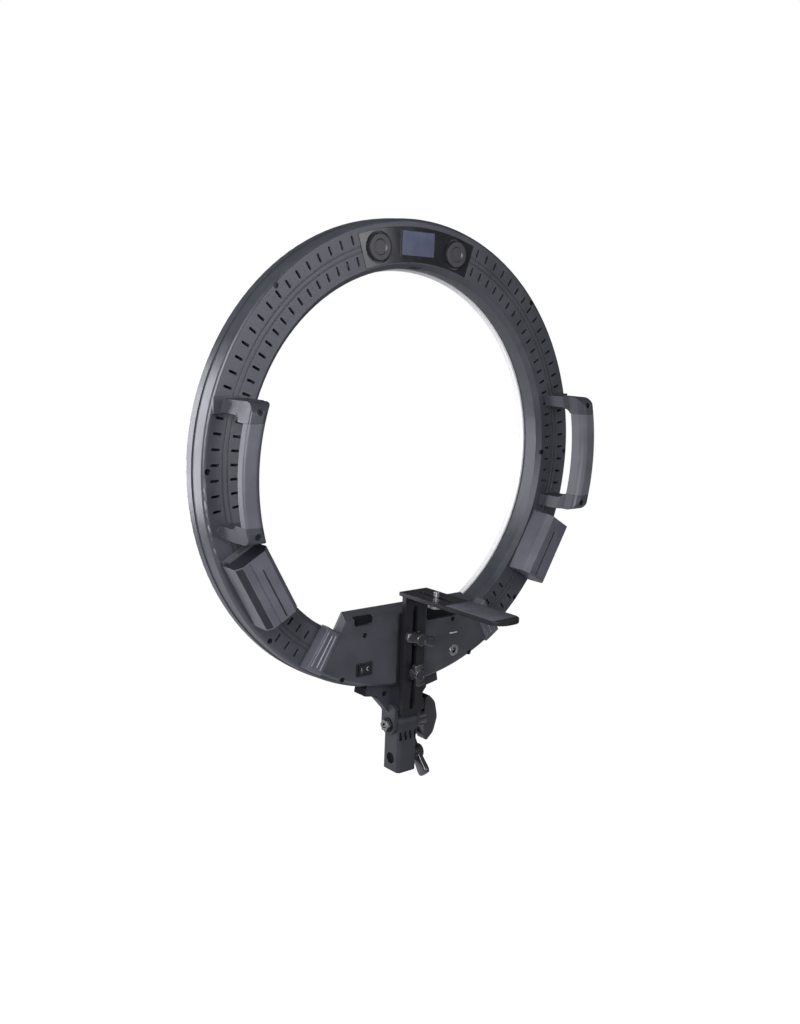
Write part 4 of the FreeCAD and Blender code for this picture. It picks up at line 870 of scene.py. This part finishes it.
lock_place = place_of(Vector((0, 0, LOCK_HEIGHT)), Vector((0, math.cos(LOCK_TURN), math.sin(LOCK_TURN))),
                      Vector((-1, 0, 0)))
wing_knob("lock_knob", lock_place, LOCK_SPAN, LOCK_WIDTH, wing=LOCK_WING,
          hub_radius=LOCK_HUB_RADIUS, hub=LOCK_HUB)

# %% [markdown]
# The control dials are turned by a fingertip, so each has a knurled edge and a dimple on top. The knurl comes
# from a cylinder with many sides: every fourth side is pushed inwards. The top is inset in rings, and the
# middle is pressed down to make the dimple.

# %% Knurled dials
KNURL_SIDES = 96
KNURL_EVERY = 4
KNURL_INSET = 0.12 * MM
KNURL_DEPTH = 0.955
DIAL_RIM = 0.5 * MM
TOP_RINGS = (1.0 * MM, 3.6 * MM, 0.9 * MM)
DIMPLE_DEPTH = 1.2 * MM
TO_REAR = Matrix.Rotation(math.radians(-90), 4, "X") @ Matrix.Rotation(math.radians(180), 4, "Z")


def on_knurl(face):
    side = math.atan2(face.center.y, face.center.x) / math.tau * KNURL_SIDES
    return abs(face.normal.z) < 0.5 and int(side + KNURL_SIDES) % KNURL_EVERY == 0


def knurled_dial(node):
    low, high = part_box(node)
    centre = Vector(((low[0] + high[0]) / 2, 0, (low[2] + high[2]) / 2))
    top = high[1]
    dial = rod_piece(node + "_knurled", (high[0] - low[0]) / 2, low[1], top, KNURL_SIDES)
    select_faces_where(dial, on_knurl)
    bpy.ops.mesh.inset(thickness=KNURL_INSET, use_individual=True)
    bpy.ops.transform.resize(value=(KNURL_DEPTH, KNURL_DEPTH, 1), center_override=(0, 0, 0))
    leave_edit()
    select_where(dial, lambda spot: spot.z > top - CLOSE)
    bpy.ops.mesh.bevel(offset=DIAL_RIM, segments=3)
    leave_edit()
    select_where(dial, lambda spot: spot.z > top - CLOSE)
    for ring in TOP_RINGS:
        bpy.ops.mesh.inset(thickness=ring)
    bpy.ops.transform.translate(value=(0, 0, -DIMPLE_DEPTH))
    leave_edit()
    settle(dial, Matrix.Translation(centre) @ TO_REAR)
    dress(dial, dial_black, body_of_node[node])
    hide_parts(node)
    print(dial.name, "faces:", len(dial.data.polygons))


for node in ("dial_left", "dial_right"):
    knurled_dial(node)

# %% [markdown]
# Marks are printed in light grey paint. It is thin and a little worn, so fine noise moves its tone. The paint
# belongs to no slot of the record.

# %% Paint for marks
MARK_GREY = (0.42, 0.43, 0.45)


def mark_paint():
    material, tree, shader, place = start_material("mark_paint", MARK_GREY, roughness=0.5)
    fine_noise = noise(tree, place, scale=1500, detail=2.0)
    vary_colour(tree, shader, fine_noise, MARK_GREY, dark=0.8, light=1.1)
    vary_roughness(tree, shader, noise(tree, place, scale=400), low=0.42, high=0.6)
    return material


painted = mark_paint()


def dress_print(piece, body):
    piece.data.materials.clear()
    piece.data.materials.append(painted)
    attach(piece, body)


print("paint:", painted.name)

# %% [markdown]
# The rocker carries I and O, slightly proud of its surface. It rests tipped about an axis along Z, so its
# marks are laid out flat about that axis first and then turned with it.

# %% Marks on the rocker
ROCKER_PIVOT = Vector((60, 6.5, 123)) * MM
ROCKER_TIP = math.radians(7)
MARK_LIFT = 4.02 * MM
MARK_OFFSET = 4.6 * MM
STROKE_SIZE = (0.7 * MM, 0.3 * MM, 4.4 * MM)
STROKE_EDGE = 0.12 * MM
LOOP_RADIUS, LOOP_HALF_WIDTH, LOOP_FLATNESS = 1.8 * MM, 0.34 * MM, 0.45
rocker_place = Matrix.Translation(ROCKER_PIVOT) @ Matrix.Rotation(ROCKER_TIP, 4, "Z")

on_mark = box_piece("rocker_on_mark", STROKE_SIZE, (MARK_OFFSET, MARK_LIFT, 0))
bevel_corners(on_mark, STROKE_EDGE)
settle(on_mark, rocker_place)
dress_print(on_mark, "power_rocker")

bpy.ops.mesh.primitive_torus_add(major_radius=LOOP_RADIUS, minor_radius=LOOP_HALF_WIDTH, major_segments=40,
                                 minor_segments=10, rotation=(math.radians(90), 0, 0))
off_mark = bpy.context.object
off_mark.name = "rocker_off_mark"
off_mark.scale = (1, 1, LOOP_FLATNESS)
off_mark.location = (-MARK_OFFSET, MARK_LIFT, 0)
bpy.ops.object.transform_apply(location=True, rotation=True, scale=True)
settle(off_mark, rocker_place)
dress_print(off_mark, "power_rocker")
print("marks:", on_mark.name, off_mark.name)

# %% [markdown]
# A short dash beside the power inlet is the only mark on the cover. It is a thin bar with rounded edges, and
# about half of its thickness is sunk in the cover.

# %% Dash on the cover
DASH_SIZE = (11 * MM, 0.3 * MM, 1.3 * MM)
DASH_X, DASH_Z = -62 * MM, 143 * MM
DASH_EDGE = 0.13 * MM
DASH_SINK = 0.02 * MM

cover_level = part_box("driver_box")[1][1]
dash = box_piece("cover_dash", DASH_SIZE, (DASH_X, cover_level - DASH_SINK, DASH_Z))
bevel_corners(dash, DASH_EDGE)
dress_print(dash, "head")
print("mark:", dash.name)

# %% [markdown]
# The camera pad is a rubber sheet with moulded ribs, so that a camera doesn't turn on the arm. The sheet
# keeps the pad's real length and width, and a row of low ribs across the arm fills its thickness.

# %% Ribbed camera pad
PAD_RIB_PITCH = 2.6 * MM
PAD_RIB_WIDTH = 1.3 * MM
PAD_MARGIN = 1.5 * MM
SHEET_SHARE, SHEET_EDGE = 0.55, 0.15 * MM
PAD_RIB_SHARE, PAD_RIB_EDGE = 0.6, 0.18 * MM

pad_low, pad_high = [Vector(corner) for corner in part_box("camera_pad")]
pad_size = pad_high - pad_low
pad_middle = (pad_low + pad_high) / 2
sheet_thickness = pad_size.z * SHEET_SHARE
rib_thickness = pad_size.z * PAD_RIB_SHARE
sheet = box_piece("camera_pad_sheet", (pad_size.x, pad_size.y, sheet_thickness),
                  (pad_middle.x, pad_middle.y, pad_low.z + sheet_thickness / 2))
bevel_corners(sheet, SHEET_EDGE)
pad_ribs = []
for step in range(int((pad_size.y - 2 * PAD_MARGIN) / PAD_RIB_PITCH) + 1):
    along = pad_low.y + PAD_MARGIN + step * PAD_RIB_PITCH
    rib = box_piece("rib", (pad_size.x - 2 * PAD_MARGIN, PAD_RIB_WIDTH, rib_thickness),
                    (pad_middle.x, along, pad_high.z - rib_thickness / 2))
    bevel_corners(rib, PAD_RIB_EDGE)
    pad_ribs.append(rib)
ribbed_pad = join([sheet, *pad_ribs], "camera_pad_ribbed")
dress(ribbed_pad, finishes[slot_of_node["camera_pad"]], body_of_node["camera_pad"])
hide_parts("camera_pad")
print("pad ribs:", len(pad_ribs))

# %% [markdown]
# The display sits under a thin glossy cover with a dark printed border. The border is a frame: the front and
# back of a flat box are inset, and the two inner faces are bridged into an opening, so that the slate blue
# screen shows through.

# %% Display border
BORDER_DEPTH = 0.35 * MM
BORDER_MARGIN = 0.8 * MM
BORDER_WIDTH = 1.9 * MM
BORDER_PROUD = 0.12 * MM
BORDER_EDGE = 0.08 * MM

window_low, window_high = [Vector(corner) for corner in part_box("lcd_window")]
window_middle = (window_low + window_high) / 2
window_size = window_high - window_low
panel_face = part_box("control_panel")[1][1]
border = box_piece(
    "display_border",
    (window_size.x + 2 * BORDER_MARGIN, BORDER_DEPTH, window_size.z + 2 * BORDER_MARGIN),
    (window_middle.x, panel_face - BORDER_DEPTH / 2 + BORDER_PROUD, window_middle.z))
select_faces_where(border, lambda face: abs(face.normal.y) > 0.9)
bpy.ops.mesh.inset(thickness=BORDER_WIDTH)
bpy.ops.mesh.bridge_edge_loops()
leave_edit()
bevel_corners(border, BORDER_EDGE, segments=1)
dress(border, finishes["gloss_black"], "head", smooth_below=math.radians(30))
print("border faces:", len(border.data.polygons))

# %% [markdown]
# Each end of the power section is closed by a collar with ridges that run from the ring's hole to its rim.
# Their rounded crests show as bright lines, and a lighter colour on them is a painted highlight. A ridge is a
# thin rod with rounded ends, made at the bottom of the ring and then turned about the ring's centre to its
# own angle.

# %% Ridges on the end collars
COLLAR_MIDDLE = 31.1
RIDGE_SHIFTS = (-1.5, 0.0, 1.5)
RIDGE_INNER = 196 * MM
RIDGE_OUTER = 231 * MM
RIDGE_RADIUS = 1.0 * MM
RIDGE_SIDES = 20


def ridge_piece(degrees_from_bottom, level):
    ridge = rod_piece("ridge", RIDGE_RADIUS, -RIDGE_OUTER, -RIDGE_INNER, RIDGE_SIDES)
    bevel_corners(ridge, RIDGE_RADIUS / 2, segments=3)
    ridge.location = (0, level, 0)
    turn = Matrix.Rotation(math.radians(-degrees_from_bottom), 4, "Y")
    settle(ridge, Matrix.Translation((RING_CENTRE.x, 0, RING_CENTRE.z)) @ turn)
    return ridge


for node, side in (("end_collar_left", 1), ("end_collar_right", -1)):
    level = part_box(node)[1][1] - RIDGE_RADIUS
    ridges = [ridge_piece(side * (COLLAR_MIDDLE + shift), level) for shift in RIDGE_SHIFTS]
    ridges = join(ridges, node + "_ridges")
    # The ridges' lighter plastic is a painted highlight.
    dress(ridges, ridge_painted_highlight, "head")
    print(ridges.name, "faces:", len(ridges.data.polygons))

# %% [markdown]
# The battery packs get painted shade in two places: a dark strip covers the sloping long edge away from the
# ring's centre, and a dark bar along the top stands for the shade in a slot. Both are thin plates with
# rounded rims. They are drawn for a pack that stands at the top of the ring.

# %% Painted shade plates of a battery pack
PACK_HALF_LENGTH = 35.4 * MM
PACK_TOP = 29.5 * MM
PACK_OUTER = 234.2 * MM
PACK_BEVEL = 6.0 * MM
STRIP_SIZE = (2 * PACK_HALF_LENGTH - 2.4 * MM, 0.5 * MM, 7.4 * MM)
SLOT_FROM, SLOT_TO = -21 * MM, 33 * MM
SLOT_RADIUS = 212 * MM
SLOT_SIZE = (SLOT_TO - SLOT_FROM, 0.4 * MM, 1.7 * MM)
STRIP_EDGE, SLOT_EDGE = 0.2 * MM, 0.12 * MM
SUNK = 0.1 * MM


def pack_strip(name):
    """A thin plate of painted shade on the 45 degree bevel along the pack's outer edge."""
    strip = box_piece(name, STRIP_SIZE, (0, 0, 0))
    bevel_corners(strip, STRIP_EDGE)
    strip.rotation_euler = (math.radians(45), 0, 0)
    strip.location = (0, PACK_TOP - PACK_BEVEL / 2 - SUNK, PACK_OUTER - PACK_BEVEL / 2 - SUNK)
    return strip


def pack_slot(name, side):
    """A long dark bar of painted shade for a slot, a little proud of the pack's top and nearer to one end."""
    slot = box_piece(name, SLOT_SIZE, (side * (SLOT_FROM + SLOT_TO) / 2, PACK_TOP - SUNK, SLOT_RADIUS))
    select_where(slot, lambda spot: True)
    bpy.ops.mesh.bevel(offset=SLOT_EDGE, segments=2)
    leave_edit()
    return slot


print("strip and slot sizes in mm:", [round(length / MM, 1) for length in STRIP_SIZE + SLOT_SIZE])

# %% [markdown]
# Both plates are then turned down about the ring's centre to each pack's own angle, and they ride on the
# pack, so they slide with it. The end of the pack that faces the handle is in its shadow and has no such
# plate, so its faces are only darkened with painted shade.

# %% Painted shade on the battery packs
PACK_ANGLE = 120

for node, side in (("battery_left", 1), ("battery_right", -1)):
    turn = Matrix.Rotation(math.radians(side * PACK_ANGLE), 4, "Y")
    # Both plates are painted shade, and so is the darkening of the pack's upper end below.
    for shade_plate in (pack_strip(node + "_strip"), pack_slot(node + "_slot", side)):
        settle(shade_plate, Matrix.Translation(RING_CENTRE) @ turn)
        dress(shade_plate, shadow_black, node)
    upper_end = turn @ Vector((-side, 0, 0))
    paint_shade(rounded[node], shadow_black, lambda face: face.normal.dot(upper_end) > 0.9)
